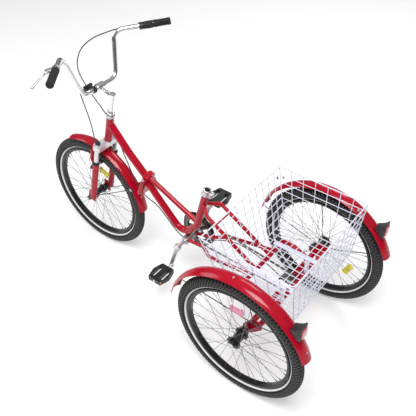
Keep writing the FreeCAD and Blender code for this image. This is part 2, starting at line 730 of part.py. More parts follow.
def bottom_bracket():
    """Shell with its two bearing cups."""
    shell = disc(BOTTOM_BRACKET, Y_AXIS, SHELL_RADIUS, 2 * SHELL_HALF)
    cups = [disc(BOTTOM_BRACKET + Y_AXIS * (side * 37), Y_AXIS, 19.0, 6.0) for side in (-1, 1)]
    bore = disc(BOTTOM_BRACKET, Y_AXIS, SPINDLE_RADIUS + RUNNING, 100)
    return fuse([shell] + cups).cut(bore)


CHAIN_STAY = [Vector(493, 28, 327), Vector(400, 38, 346), Vector(332, 78, 354),
              Vector(FRONT_BEAM[0] + 2, 88, FRONT_BEAM[1] - 8)]
SEAT_STAY = [SEAT_TUBE_TOP + Vector(16, 6, -84), Vector(364, 50, 556),
             Vector(FRONT_BEAM[0] + 2, 52, FRONT_BEAM[1] - 6)]


def mirrored_tubes(points, radius, wall, bend, tools):
    tubes = []
    for side in (-1, 1):
        line = [Vector(p.x, side * p.y, p.z) for p in points]
        pieces = cut(bent_tube(line, radius, wall, bend), tools).Solids
        tubes.append(max(pieces, key=lambda solid: solid.Volume))
    return tubes


def front_beam_rod():
    x, z = FRONT_BEAM
    return rod(Vector(x, -130, z), Vector(x, 130, z), BEAM_RADIUS)


def chain_stays():
    tools = [disc(BOTTOM_BRACKET, Y_AXIS, SHELL_RADIUS, 3 * SHELL_HALF), front_beam_rod(),
             bent_rod(LOWER_TUBE, LOWER_TUBE_RADIUS, 58)]
    return group(mirrored_tubes(CHAIN_STAY, STAY_RADIUS, 1.4, 40, tools))


def seat_stays():
    """Two stays and the brace between them."""
    tools = [rod(SEAT_TUBE_FOOT, SEAT_TUBE_TOP, SEAT_TUBE_RADIUS), front_beam_rod()]
    stays = mirrored_tubes(SEAT_STAY, STAY_RADIUS, 1.4, 30, tools)
    at = SEAT_STAY[1] + (SEAT_STAY[2] - SEAT_STAY[1]) * 0.17
    brace = rod(Vector(at.x, -at.y, at.z), Vector(at.x, at.y, at.z), 6.0)
    outer = [bent_rod([Vector(p.x, side * p.y, p.z) for p in SEAT_STAY], STAY_RADIUS, 30) for side in (-1, 1)]
    brace = max(cut(brace, outer).Solids, key=lambda solid: solid.Volume)
    return group(stays + [brace])


def axle_plate(side):
    """The plate that joins the rear beam to the axle housing."""
    outline = [(-17, 286), (17, 286), (20, 316), (-22, 374), (-62, 370), (-68, 338), (-34, 302)]
    points = [Vector(x, side * PLATE_SIDE - 3, z) for x, z in outline + outline[:1]]
    return Part.Face(Part.makePolygon(points)).extrude(Vector(0, 6, 0))


def beam_loop(half_width):
    """Corners of the bent tube that runs under the basket and back to the rear beam."""
    (front_x, front_z), (rear_x, rear_z) = FRONT_BEAM, REAR_BEAM
    left = [Vector(rear_x, half_width, rear_z), Vector(front_x, half_width, front_z),
            Vector(front_x, 100, front_z)]
    return [mirror(p) for p in reversed(left)] + left


def axle_frame():
    """Front and rear beams, the bowed side rails, the axle housings and plates."""
    loop = beam_loop(RAIL_SIDE)
    inside = BEAM_RADIUS - 2.2
    beam = (loop[0] - Y_AXIS * 0.2, loop[-1] + Y_AXIS * 0.2)
    pieces = [rod(*beam, BEAM_RADIUS), bent_rod(loop, BEAM_RADIUS, 34)]
    rear_x, rear_z = REAR_BEAM
    for side in (-1, 1):
        plate_at = side * (PLATE_SIDE - 3)
        link_start = Vector(rear_x, side * (RAIL_SIDE - 40), rear_z)
        link = rod(link_start, Vector(rear_x, plate_at, rear_z), BEAM_RADIUS)
        inner = 92.0 if side < 0 else 40.0
        housing_end = Vector(0, side * (PLATE_SIDE + 4), TYRE_RADIUS)
        housing = rod(Vector(0, side * inner, TYRE_RADIUS), housing_end, 13.5)
        rise = unit(Vector(-rear_x, 0, TYRE_RADIUS - rear_z))
        web = block(Vector(rear_x / 2, side * 98, (rear_z + TYRE_RADIUS) / 2), (-rear_x, 8, 26),
                    rise, Vector(-rise.z, 0, rise.x))
        pieces += [axle_plate(side), link, housing, web]
    bores = [bent_rod(loop, inside, 34), rod(*beam, inside),
             rod(Vector(0, -400, TYRE_RADIUS), Vector(0, 400, TYRE_RADIUS), AXLE_RADIUS + RUNNING)]
    return cut(fuse(pieces), bores)


def left_axle():
    """The fixed stub axle of the left wheel, with its nut."""
    stub = rod(Vector(0, 42, TYRE_RADIUS), Vector(0, 376, TYRE_RADIUS), AXLE_RADIUS)
    nut = rod(Vector(0, 366, TYRE_RADIUS), Vector(0, 376, TYRE_RADIUS), 13.0)
    return fuse([stub, nut])


def drive_axle():
    """The turning axle that carries the sprocket and the right wheel."""
    shaft = rod(Vector(0, -376, TYRE_RADIUS), Vector(0, -44, TYRE_RADIUS), AXLE_RADIUS)
    nut = rod(Vector(0, -376, TYRE_RADIUS), Vector(0, -366, TYRE_RADIUS), 13.0)
    return fuse([shaft, nut])


# ---- drive -------------------------------------------------------------------
CHAIN_HALF_HEIGHT = 4.2
CHAIN_HALF_WIDTH = 3.5
TOOTHED_DISC = CHAIN_HALF_HEIGHT + 0.4


def chain_centre(point):
    return Vector(point.x, CHAIN_SIDE, point.z)


def chain_wheels():
    return [(chain_centre(BOTTOM_BRACKET), pitch_radius(CHAINRING_TEETH)),
            (Vector(0, CHAIN_SIDE, TYRE_RADIUS), pitch_radius(SPROCKET_TEETH)),
            (chain_centre(TENSIONER), TENSIONER_RADIUS)]


def tangent_quad(first, second, grow):
    """The strip between two circles, bounded by their outer tangents."""
    (a, ra), (b, rb) = first, second
    ra, rb = ra + grow, rb + grow
    line = b - a
    base = math.atan2(line.z, line.x)
    spread = math.acos((ra - rb) / line.Length)
    corners = []
    for way in (1, -1):
        direction = Vector(math.cos(base + way * spread), 0, math.sin(base + way * spread))
        corners.append((a + direction * ra, b + direction * rb))
    (a1, b1), (a2, b2) = corners
    return Part.Face(Part.makePolygon([a1, b1, b2, a2, a1]))


def belt(circles, grow, half_width):
    """The space inside a belt around the circles."""
    faces = [tangent_quad(circles[i], circles[i - 1], grow) for i in range(len(circles))]
    faces.append(Part.Face(Part.makePolygon([c for c, _ in circles] + [circles[0][0]])))
    solids = []
    for face in faces:
        face.translate(Vector(0, -half_width, 0))
        solids.append(face.extrude(Vector(0, 2 * half_width, 0)))
    for centre, radius in circles:
        solids.append(disc(centre, Y_AXIS, radius + grow, 2 * half_width))
    return fuse(solids)


def chain():
    circles = chain_wheels()
    inside = belt(circles, -CHAIN_HALF_HEIGHT, CHAIN_HALF_WIDTH + 1)
    return belt(circles, CHAIN_HALF_HEIGHT, CHAIN_HALF_WIDTH).cut(inside)


def chainring():
    """Toothed ring with a five-armed spider and a guard outside the chain."""
    centre, radius = chain_wheels()[0]
    plate = disc(centre, Y_AXIS, radius - TOOTHED_DISC, 3.0)
    guard_side = CHAIN_SIDE - CHAIN_HALF_WIDTH - 2.5
    guard = ring(Vector(centre.x, guard_side, centre.z), Y_AXIS, radius + 12, radius - 20, 2.4)
    posts = []
    for i in range(5):
        angle = 2 * math.pi * i / 5 + CRANK_ANGLE
        at = centre + Vector(math.cos(angle), 0, math.sin(angle)) * (radius - 14)
        posts.append(rod(at, at + Y_AXIS * (guard_side - CHAIN_SIDE), 5.0))
    return fuse([plate, guard] + posts).cut(disc(centre, Y_AXIS, 21.0, 40))


def crank_end(side):
    reach = Vector(math.cos(CRANK_ANGLE), 0, math.sin(CRANK_ANGLE)) * (CRANK_LENGTH * side)
    return BOTTOM_BRACKET + reach


def crankset():
    """Spindle, two arms, the spider and the pedal spindles."""
    pieces = [disc(BOTTOM_BRACKET, Y_AXIS, SPINDLE_RADIUS, 2 * CRANK_SIDE + 10)]
    for side in (-1, 1):
        at = BOTTOM_BRACKET + Y_AXIS * (side * CRANK_SIDE)
        tip = crank_end(side) + Y_AXIS * (side * CRANK_SIDE)
        along = unit(tip - at)
        arm = block((at + tip) * 0.5, (CRANK_LENGTH, 11, 17), along, Y_AXIS.cross(along) * -1)
        pieces += [arm, disc(at, Y_AXIS, 18.0, 14), disc(tip, Y_AXIS, 13.0, 13)]
        outer = crank_end(side) + Y_AXIS * (side * (PEDAL_SIDE + 52))
        pieces.append(rod(tip, outer, PEDAL_SPINDLE_RADIUS))
    hub_start = BOTTOM_BRACKET + Y_AXIS * (CHAIN_SIDE + 4)
    pieces.append(rod(hub_start, BOTTOM_BRACKET - Y_AXIS * CRANK_SIDE, 20.8))
    return fuse(pieces)


def pedal(side):
    """Platform pedal: a hexagonal frame with a slot on each side of its core."""
    centre = crank_end(side) + Y_AXIS * (side * PEDAL_SIDE)
    half, waist, thick = 50.0, 34.0, 24.0
    outline = [(-waist, -half), (waist, -half), (48, 0), (waist, half), (-waist, half), (-48, 0),
               (-waist, -half)]
    points = [centre + Vector(x, y, -thick / 2) for x, y in outline]
    body = Part.Face(Part.makePolygon(points)).extrude(Vector(0, 0, thick))
    slots = [block(centre + X_AXIS * (way * 24), (20, 66, 60)) for way in (-1, 1)]
    bore = disc(centre, Y_AXIS, PEDAL_SPINDLE_RADIUS + RUNNING, 140)
    return cut(body, slots + [bore])


def sprocket():
    centre, radius = chain_wheels()[1]
    plate = disc(centre, Y_AXIS, radius - TOOTHED_DISC, 3.0)
    body = disc(centre, Y_AXIS, 24.0, 22.0)
    return fuse([plate, body]).cut(disc(centre, Y_AXIS, AXLE_RADIUS, 60))


def derailleur():
    """Tensioner arm and its two cage plates, with the jockey wheel inside."""
    hanger_side = CHAIN_SIDE - 26
    start = Vector(0, hanger_side, TYRE_RADIUS - 22)
    centre = chain_centre(TENSIONER)
    plates = []
    for side in (CHAIN_SIDE - 7, CHAIN_SIDE + 7):
        at = Vector(centre.x, side, centre.z)
        far = at + Vector(-18, 0, 22)
        line = far - at
        plates += [block((at + far) * 0.5, (line.Length, 2.4, 16), unit(line), Y_AXIS.cross(unit(line)) * -1)]
        plates += [disc(at, Y_AXIS, 11, 2.4)]
    jockey = disc(centre, Y_AXIS, TENSIONER_RADIUS - TOOTHED_DISC, 11.6)
    pin = rod(Vector(centre.x - 18, CHAIN_SIDE + 8, centre.z + 22),
              Vector(centre.x - 18, hanger_side - 4, centre.z + 22), 4.0)
    arm_end = Vector(centre.x - 18, hanger_side, centre.z + 22)
    line = arm_end - start
    arm = block((start + arm_end) * 0.5, (line.Length + 12, 9, 18), unit(line), Y_AXIS.cross(unit(line)) * -1)
    bracket = block(Vector(-4, hanger_side, TYRE_RADIUS - 16), (22, 8, 34))
    axle_hole = rod(Vector(0, -200, TYRE_RADIUS), Vector(0, 0, TYRE_RADIUS), AXLE_RADIUS + 2)
    return fuse(plates + [jockey, pin, arm, bracket]).cut(axle_hole)


# ---- basket ------------------------------------------------------------------
def basket_corner(front, left, up):
    back_x, front_x, half = (BASKET_TOP if up else BASKET_FLOOR)
    x = front_x if front else back_x
    return Vector(x, half if left else -half, BASKET_TOP_Z if up else BASKET_FLOOR_Z)


def blend_point(corners, u, v):
    """A point on a four-cornered panel, by its shares across and up."""
    a, b, c, d = corners
    return a * ((1 - u) * (1 - v)) + b * (u * (1 - v)) + c * (u * v) + d * ((1 - u) * v)


def wire_panel(corners, across, up):
    """A grid of welded wires, made as a thin sheet with openings."""
    a, b, _, d = corners
    normal = unit((b - a).cross(d - a))
    holes = []
    du, dv = WIRE / ((b - a).Length), WIRE / ((d - a).Length)
    for i in range(across):
        for j in range(up):
            u0, u1 = i / across + du, (i + 1) / across - du
            v0, v1 = j / up + dv, (j + 1) / up - dv
            quad = [blend_point(corners, u, v) for u, v in ((u0, v0), (u1, v0), (u1, v1), (u0, v1), (u0, v0))]
            holes.append(Part.makePolygon(quad))
    outline = Part.makePolygon(list(corners) + [corners[0]])
    face = Part.makeFace([outline] + holes, "Part::FaceMakerBullseye")
    face.translate(normal * -WIRE)
    return face.extrude(normal * (2 * WIRE))


def shrink_panel(corners, margin):
    """The panel with its two upright edges drawn in."""
    a, b, c, d = corners
    low, high = unit(b - a) * margin, unit(c - d) * margin
    return [a + low, b - low, c - high, d + high]


def basket():
    """Five wire panels: two sides, two ends and a floor."""
    corner = basket_corner
    walls = []
    for left in (False, True):
        corners = [corner(0, left, 0), corner(1, left, 0), corner(1, left, 1), corner(0, left, 1)]
        walls.append(wire_panel(corners, SIDE_COLUMNS, WALL_ROWS))
    for front in (False, True):
        corners = [corner(front, 0, 0), corner(front, 1, 0), corner(front, 1, 1), corner(front, 0, 1)]
        walls.append(wire_panel(shrink_panel(corners, 6.0), END_COLUMNS, WALL_ROWS))
    floor = [corner(0, 0, 0), corner(1, 0, 0), corner(1, 1, 0), corner(0, 1, 0)]
    middle = (floor[0] + floor[2]) * 0.5
    floor = [middle + (p - middle) * 0.94 for p in floor]
    floor = [Vector(p.x, p.y, p.z - WIRE) for p in floor]
    return {"basket_walls": group(walls), "basket_floor": wire_panel(floor, FLOOR_COLUMNS, FLOOR_ROWS)}


def basket_rails():
    """Two flat rails that carry the basket floor on feet from the front and rear beams."""
    rails = []
    top = BASKET_FLOOR_Z - 2 * WIRE - 0.2
    bottom = top - 5.0
    low_x, high_x = REAR_BEAM[0] - 48, FRONT_BEAM[0] + 8
    for y in (-96, 96):
        middle = Vector((low_x + high_x) / 2, y, (top + bottom) / 2)
        pieces = [block(middle, (high_x - low_x, 22, top - bottom))]
        for beam_x, beam_z in (FRONT_BEAM, (REAR_BEAM[0] - 3, REAR_BEAM[1])):
            foot_low = beam_z + BEAM_RADIUS + RUNNING
            middle = Vector(beam_x, y, (bottom + foot_low) / 2 + 1)
            pieces.append(block(middle, (14, 16, bottom - foot_low + 2)))
        rails.append(fuse(pieces))
    return group(rails)


# ---- cables ------------------------------------------------------------------
def brake_cable():
    end, inward, ahead = lever_frame()
    start = end + inward * (LEVER_CLAMP + 32) + ahead * 17
    route = [start, start + inward * 34, Vector(1042, 118, 1078), Vector(1044, 84, 1022),
             Vector(1052, 60, 960), Vector(1058, 44, 896), Vector(1056, 34, 834), Vector(1050, 26, 774),
             Vector(1044, 22, 716), steer(334, BRAKE_FORE + 18, 22)]
    return cable("brake_cable", route)


def shift_cable():
    centre, inward, ahead = shifter_frame()
    start = centre + ahead * 15 + inward * (16 + FACE_GAP)
    route = [start, start + inward * 12, Vector(1012, -190, 1130), Vector(1064, -160, 1108),
             Vector(1120, -125, 1080), Vector(1162, -86, 1036), Vector(1164, -52, 988),
             Vector(1134, -26, 950), Vector(1092, -14, 916), Vector(1056, -16, 870),
             Vector(1024, -24, 822), Vector(990, -30, 775), Vector(953, -31, 729),
             Vector(920, -18, 686), Vector(884, 2, 642), Vector(846, 10, 584), Vector(826, 8, 522),
             Vector(806, 4, 464), Vector(762, 2, 430), Vector(712, 0, 420), Vector(672, 0, 392),
             Vector(632, 0, 350), Vector(592, -2, 308), Vector(546, -6, 278), Vector(496, -16, 282),
             Vector(448, -28, 304), Vector(402, -40, 326), Vector(356, -60, 334),
             Vector(312, -76, 338), Vector(262, -84, 330), Vector(208, -87, 318),
             Vector(156, -87, 302), Vector(112, -85, 284), Vector(72, -84, 268)]
    return cable("shift_cable", route)


# ---- build and write ---------------------------------------------------------
def build():
    front_hub = ((-49.6, 49.6), 16.0, 23.0, FRONT_AXLE_RADIUS + RUNNING)
    parts = {
        "head_tube": head_tube(),
        "headset_cups": headset(),
        "main_tube": main_tube(),
        "front_hinge_plate": front_plate_with_latch(),
        "hinge_pin": hinge_pin(),
        "hinge_lever": hinge_lever(),
        "rear_hinge_plate": rear_hinge_plate(),
        "fork_crown": fork_crown(),
        "stem": stem(),
        "handlebar": handlebar(),
        "grips": grips(),
        "brake_lever_bracket": brake_bracket(),
        "brake_lever": brake_lever(),
        "shifter_body": shifter_body(),
        "twist_sleeve": twist_sleeve(),
        "front_reflector": reflector_bracket(),
        "fork_lowers": fork_lowers(),
        "front_axle": front_axle(),
        "brake_arm_left": brake_arm(1),
        "brake_arm_right": brake_arm(-1),
        "front_fender": front_fender(),
        "front_fender_stays": front_fender_stays(),
        "rear_fender_left": rear_fender(1),
        "rear_fender_right": rear_fender(-1),
        "fender_stays": fender_stays(),
        "tail_reflectors": tail_reflectors(),
        "lower_tube": lower_tube(),
        "upper_tube": upper_tube(),
        "seat_tube": seat_tube(),
        "seat_clamp": seat_clamp(),
        "bottom_bracket": bottom_bracket(),
        "chain_stays": chain_stays(),
        "seat_stays": seat_stays(),
        "axle_frame": axle_frame(),
        "left_axle": left_axle(),
        "drive_axle": drive_axle(),
        "chain": chain(),
        "chainring": chainring(),
        "crankset": crankset(),
        "pedal_left": pedal(1),
        "pedal_right": pedal(-1),
        "sprocket": sprocket(),
        "derailleur": derailleur(),
        "basket_rails": basket_rails(),
        "brake_cable": brake_cable(),
        "shift_cable": shift_cable(),
    }
    parts.update(basket())
    parts.update(wheel("front", FRONT_AXLE, *front_hub))
    parts.update(wheel("left", wheel_centre(1), (-48.0, 38.7), 20.0, 30.0, AXLE_RADIUS + RUNNING))
    parts.update(wheel("right", wheel_centre(-1), (-38.7, 48.0), 20.0, 30.0, AXLE_RADIUS, 38.0))
    return parts


def middle_x():
    """Half way between the front tyre's tread and the rear fenders' ends."""
    front = WHEELBASE + TYRE_RADIUS
    back = REAR_FENDER[0] * math.cos(math.radians(REAR_FENDER_END))
    return (front + back) / 2


ORIGIN_SHIFT = Vector(-middle_x(), 0, 0)


def main():
    os.makedirs("parts", exist_ok=True)
    for name, shape in build().items():
        shape = shape.copy()
        shape.translate(ORIGIN_SHIFT)
        if not shape.isValid() or not shape.Solids:
            print("check", name, shape.isValid(), len(shape.Solids))
        shape.exportStep("parts/" + name + ".step")
        print(name, len(shape.Solids), round(shape.Volume / 1000), "cm3")


if __name__ == "__main__":
    main()
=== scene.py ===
import math

import bmesh
import bpy
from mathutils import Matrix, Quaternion, Vector


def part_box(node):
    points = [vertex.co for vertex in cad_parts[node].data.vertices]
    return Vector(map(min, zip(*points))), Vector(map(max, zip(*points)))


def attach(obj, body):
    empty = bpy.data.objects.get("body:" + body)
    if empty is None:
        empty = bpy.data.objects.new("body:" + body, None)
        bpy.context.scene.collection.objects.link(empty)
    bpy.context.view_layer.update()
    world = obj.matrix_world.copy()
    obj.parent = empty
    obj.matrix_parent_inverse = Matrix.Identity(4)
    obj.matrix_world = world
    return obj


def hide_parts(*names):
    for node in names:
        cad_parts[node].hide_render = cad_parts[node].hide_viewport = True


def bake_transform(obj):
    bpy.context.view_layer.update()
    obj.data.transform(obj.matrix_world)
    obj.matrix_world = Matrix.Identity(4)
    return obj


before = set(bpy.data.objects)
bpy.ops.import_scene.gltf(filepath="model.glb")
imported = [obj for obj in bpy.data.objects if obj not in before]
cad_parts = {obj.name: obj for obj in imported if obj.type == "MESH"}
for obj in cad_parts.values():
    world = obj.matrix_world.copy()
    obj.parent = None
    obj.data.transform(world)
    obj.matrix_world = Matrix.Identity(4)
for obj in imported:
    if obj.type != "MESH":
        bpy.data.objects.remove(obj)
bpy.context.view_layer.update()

# An adult tricycle.  Metres, in the frame of the CAD model: +X forward, +Y to
# the rider's left.  place() takes points measured from the rear axle line.

# ---- sizes and places ----
TYRE_RADIUS = 0.303
BEAD_RADIUS = 0.249
RIM_INNER_RADIUS = 0.2336
CHAIN_PITCH = 0.0127
CHAINRING_TEETH = 40
SPROCKET_TEETH = 20
TENSIONER_RADIUS = 0.016
STEER_LEAN = math.radians(75.0)

X_AXIS, Y_AXIS, Z_AXIS = Vector((1, 0, 0)), Vector((0, 1, 0)), Vector((0, 0, 1))
STEER_DOWN = Vector((math.cos(STEER_LEAN), 0, -math.sin(STEER_LEAN)))
STEER_FORE = Vector((math.sin(STEER_LEAN), 0, math.cos(STEER_LEAN)))


def middle(node):
    """The middle of a CAD node's box."""
    low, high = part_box(node)
    return (low + high) / 2


REAR_AXLE_X = middle("left_hub").x


def place(x, y, z):
    return Vector((REAR_AXLE_X + x, y, z))


QUILL_TOP = place(0.903, 0, 0.926)
WHEELS = {"front": middle("front_tyre"), "left": middle("left_tyre"), "right": middle("right_tyre")}
WHEEL_BODY = {"front": "front_wheel", "left": "left_wheel", "right": "drive_wheel"}
BOTTOM_BRACKET = middle("bottom_bracket")


def steer(along, fore, side):
    """A point by its place along, ahead of and beside the steering axis."""
    return QUILL_TOP + STEER_DOWN * along + STEER_FORE * fore + Y_AXIS * side


def polar(centre, radius, degrees, side=0.0):
    """A point round a wheel centre, by its angle above straight ahead."""
    angle = math.radians(degrees)
    return centre + Vector((math.cos(angle) * radius, side, math.sin(angle) * radius))


# ---- materials ----
def set_inputs(node, **values):
    """Sets inputs of a shader node; an underscore stands for a space in a name."""
    for name, value in values.items():
        node.inputs[name.replace("_", " ")].default_value = value


def texture_vector(tree, stretch):
    coords = tree.nodes.new("ShaderNodeTexCoord")
    mapping = tree.nodes.new("ShaderNodeMapping")
    set_inputs(mapping, Scale=stretch)
    tree.links.new(coords.outputs["Object"], mapping.inputs["Vector"])
    return mapping.outputs["Vector"]


def noise(tree, vector, scale, detail):
    node = tree.nodes.new("ShaderNodeTexNoise")
    set_inputs(node, Scale=scale, Detail=detail)
    tree.links.new(vector, node.inputs["Vector"])
    return node.outputs["Fac"]


def spread(tree, value, low, high):
    """Maps a noise's middle range to the range from low to high."""
    node = tree.nodes.new("ShaderNodeMapRange")
    set_inputs(node, From_Min=0.3, From_Max=0.7, To_Min=low, To_Max=high)
    tree.links.new(value, node.inputs["Value"])
    return node.outputs["Result"]


def mixed_colour(tree, factor, low, high):
    node = tree.nodes.new("ShaderNodeMix")
    node.data_type = "RGBA"
    node.inputs[6].default_value = (*low, 1)
    node.inputs[7].default_value = (*high, 1)
    tree.links.new(factor, node.inputs[0])
    return node.outputs[2]


def relief(tree, shader, height, strength, depth):
    node = tree.nodes.new("ShaderNodeBump")
    set_inputs(node, Strength=strength, Distance=depth)
    tree.links.new(height, node.inputs["Height"])
    tree.links.new(node.outputs["Normal"], shader.inputs["Normal"])


def surface(name, colour, rough, metal=0.0, coat=0.0, vary=0.08, grain=700.0, patch=14.0, bump=0.15,
            stretch=(1, 1, 1), shine=0.5):
    """A finish whose colour, gloss and relief vary as the real one's do."""
    material = bpy.data.materials.new(name)
    material.use_nodes = True
    tree = material.node_tree
    shader = tree.nodes["Principled BSDF"]
    set_inputs(shader, Metallic=metal, Coat_Weight=coat, Coat_Roughness=0.05, Specular_IOR_Level=shine)
    vector = texture_vector(tree, stretch)
    fine = noise(tree, vector, grain, 3.0)
    broad = noise(tree, vector, patch, 5.0)
    blend = tree.nodes.new("ShaderNodeMath")
    blend.operation = "MULTIPLY_ADD"
    blend.inputs[1].default_value = 0.5
    tree.links.new(fine, blend.inputs[0])
    halved = tree.nodes.new("ShaderNodeMath")
    halved.operation = "MULTIPLY"
    halved.inputs[1].default_value = 0.5
    tree.links.new(broad, halved.inputs[0])
    tree.links.new(halved.outputs[0], blend.inputs[2])
    factor = spread(tree, blend.outputs[0], 0.0, 1.0)
    low = [c * (1 - vary) for c in colour]
    high = [min(1.0, c * (1 + vary)) for c in colour]
    tree.links.new(mixed_colour(tree, factor, low, high), shader.inputs["Base Color"])
    tree.links.new(spread(tree, broad, rough * 0.8, rough * 1.2), shader.inputs["Roughness"])
    relief(tree, shader, fine, bump, 0.0004)
    return material


def lens_surface(name, colour):
    """Reflector plastic with a raised pattern of small cells."""
    material = surface(name, colour, 0.18, coat=0.8, vary=0.2, patch=60.0)
    tree = material.node_tree
    shader = tree.nodes["Principled BSDF"]
    cells = tree.nodes.new("ShaderNodeTexVoronoi")
    set_inputs(cells, Scale=330.0, Randomness=0.15)
    tree.links.new(texture_vector(tree, (1, 1, 1)), cells.inputs["Vector"])
    relief(tree, shader, cells.outputs["Distance"], 0.8, 0.0015)
    return material


CAD_FINISHES = (
    surface("red_paint", (0.41, 0.0006, 0.015), 0.20, coat=0.40, vary=0.10, grain=1500.0, bump=0.04,
            shine=0.15),
    surface("silver_paint", (0.72, 0.72, 0.74), 0.30, metal=0.55, coat=0.3, grain=1400.0),
    surface("black_paint", (0.012, 0.012, 0.013), 0.34, coat=0.3, vary=0.3),
    surface("chrome", (0.80, 0.80, 0.82), 0.12, metal=1.0, vary=0.04, patch=25.0, bump=0.03),
    surface("steel", (0.56, 0.56, 0.57), 0.27, metal=1.0, vary=0.12, stretch=(1, 4, 1)),
    surface("alloy", (0.74, 0.74, 0.76), 0.34, metal=1.0, vary=0.10, patch=30.0, stretch=(1, 1, 3)),
    surface("chain_steel", (0.16, 0.14, 0.12), 0.38, metal=0.9, vary=0.35, patch=40.0),
    surface("spoke_steel", (0.22, 0.22, 0.23), 0.28, metal=1.0, vary=0.15, patch=30.0),
    surface("rim_black", (0.008, 0.008, 0.009), 0.30, coat=0.1, vary=0.3, shine=0.35),
    surface("hub_black", (0.010, 0.010, 0.011), 0.34, coat=0.15, vary=0.3, shine=0.4),
    surface("tyre_rubber", (0.012, 0.012, 0.012), 0.66, vary=0.45, grain=500.0, patch=30.0, bump=0.5,
            shine=0.25),
    surface("grip_rubber", (0.018, 0.018, 0.019), 0.62, vary=0.35, grain=900.0, bump=0.5, shine=0.3),
    surface("black_plastic", (0.016, 0.016, 0.017), 0.45, vary=0.25, grain=1100.0, bump=0.35),
    lens_surface("reflector_red", (0.50, 0.02, 0.05)),
    surface("cable_black", (0.012, 0.012, 0.013), 0.38, vary=0.25, grain=900.0),
    surface("basket_white", (0.72, 0.73, 0.84), 0.42, coat=0.2, vary=0.06, grain=900.0, bump=0.25),
)


def plain_name(material):
    """A material's name without the number that Blender adds to a repeated one."""
    return material.name.split(".")[0]


FINISH = {plain_name(material): material for material in CAD_FINISHES}
# The tread blocks are the tyre's own rubber painted lighter than the casing: a painted highlight on the
# knobs.
LUG_RUBBER_PAINTED_HIGHLIGHT = surface("lug_rubber_painted_highlight", (0.050, 0.050, 0.051), 0.60, vary=0.3, grain=500.0, patch=30.0, bump=0.4)
WHITE_RUBBER = surface("white_rubber", (0.80, 0.80, 0.78), 0.6, vary=0.1, patch=40.0, bump=0.3)
AMBER_LENS = lens_surface("amber_lens", (0.85, 0.32, 0.02))
YELLOW_LENS = lens_surface("yellow_lens", (0.82, 0.70, 0.02))
PINK_LENS = lens_surface("pink_lens", (0.80, 0.25, 0.42))
CLEAR_LENS = lens_surface("clear_lens", (0.80, 0.80, 0.82))
DARK_STEEL = surface("dark_steel", (0.10, 0.10, 0.11), 0.35, metal=1.0, vary=0.25)


def paint_cad_nodes():
    """Gives the solids that stay visible the finish that their slot names."""
    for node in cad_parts.values():
        for slot in node.material_slots:
            slot.material = FINISH[plain_name(slot.material)]


# ---- mesh building ----
SMOOTH_ANGLE = math.radians(35.0)
BEVEL_ANGLE = math.radians(40.0)


def add_object(name, data):
    """A new object, linked to the scene."""
    item = bpy.data.objects.new(name, data)
    bpy.context.scene.collection.objects.link(item)
    return item


def directions(points, closed):
    """The way a path runs at each of its points."""
    count = len(points)
    result = []
    for i in range(count):
        after = points[(i + 1) % count] if closed else points[min(i + 1, count - 1)]
        before = points[i - 1] if closed else points[max(i - 1, 0)]
        result.append((after - before).normalized())
    return result


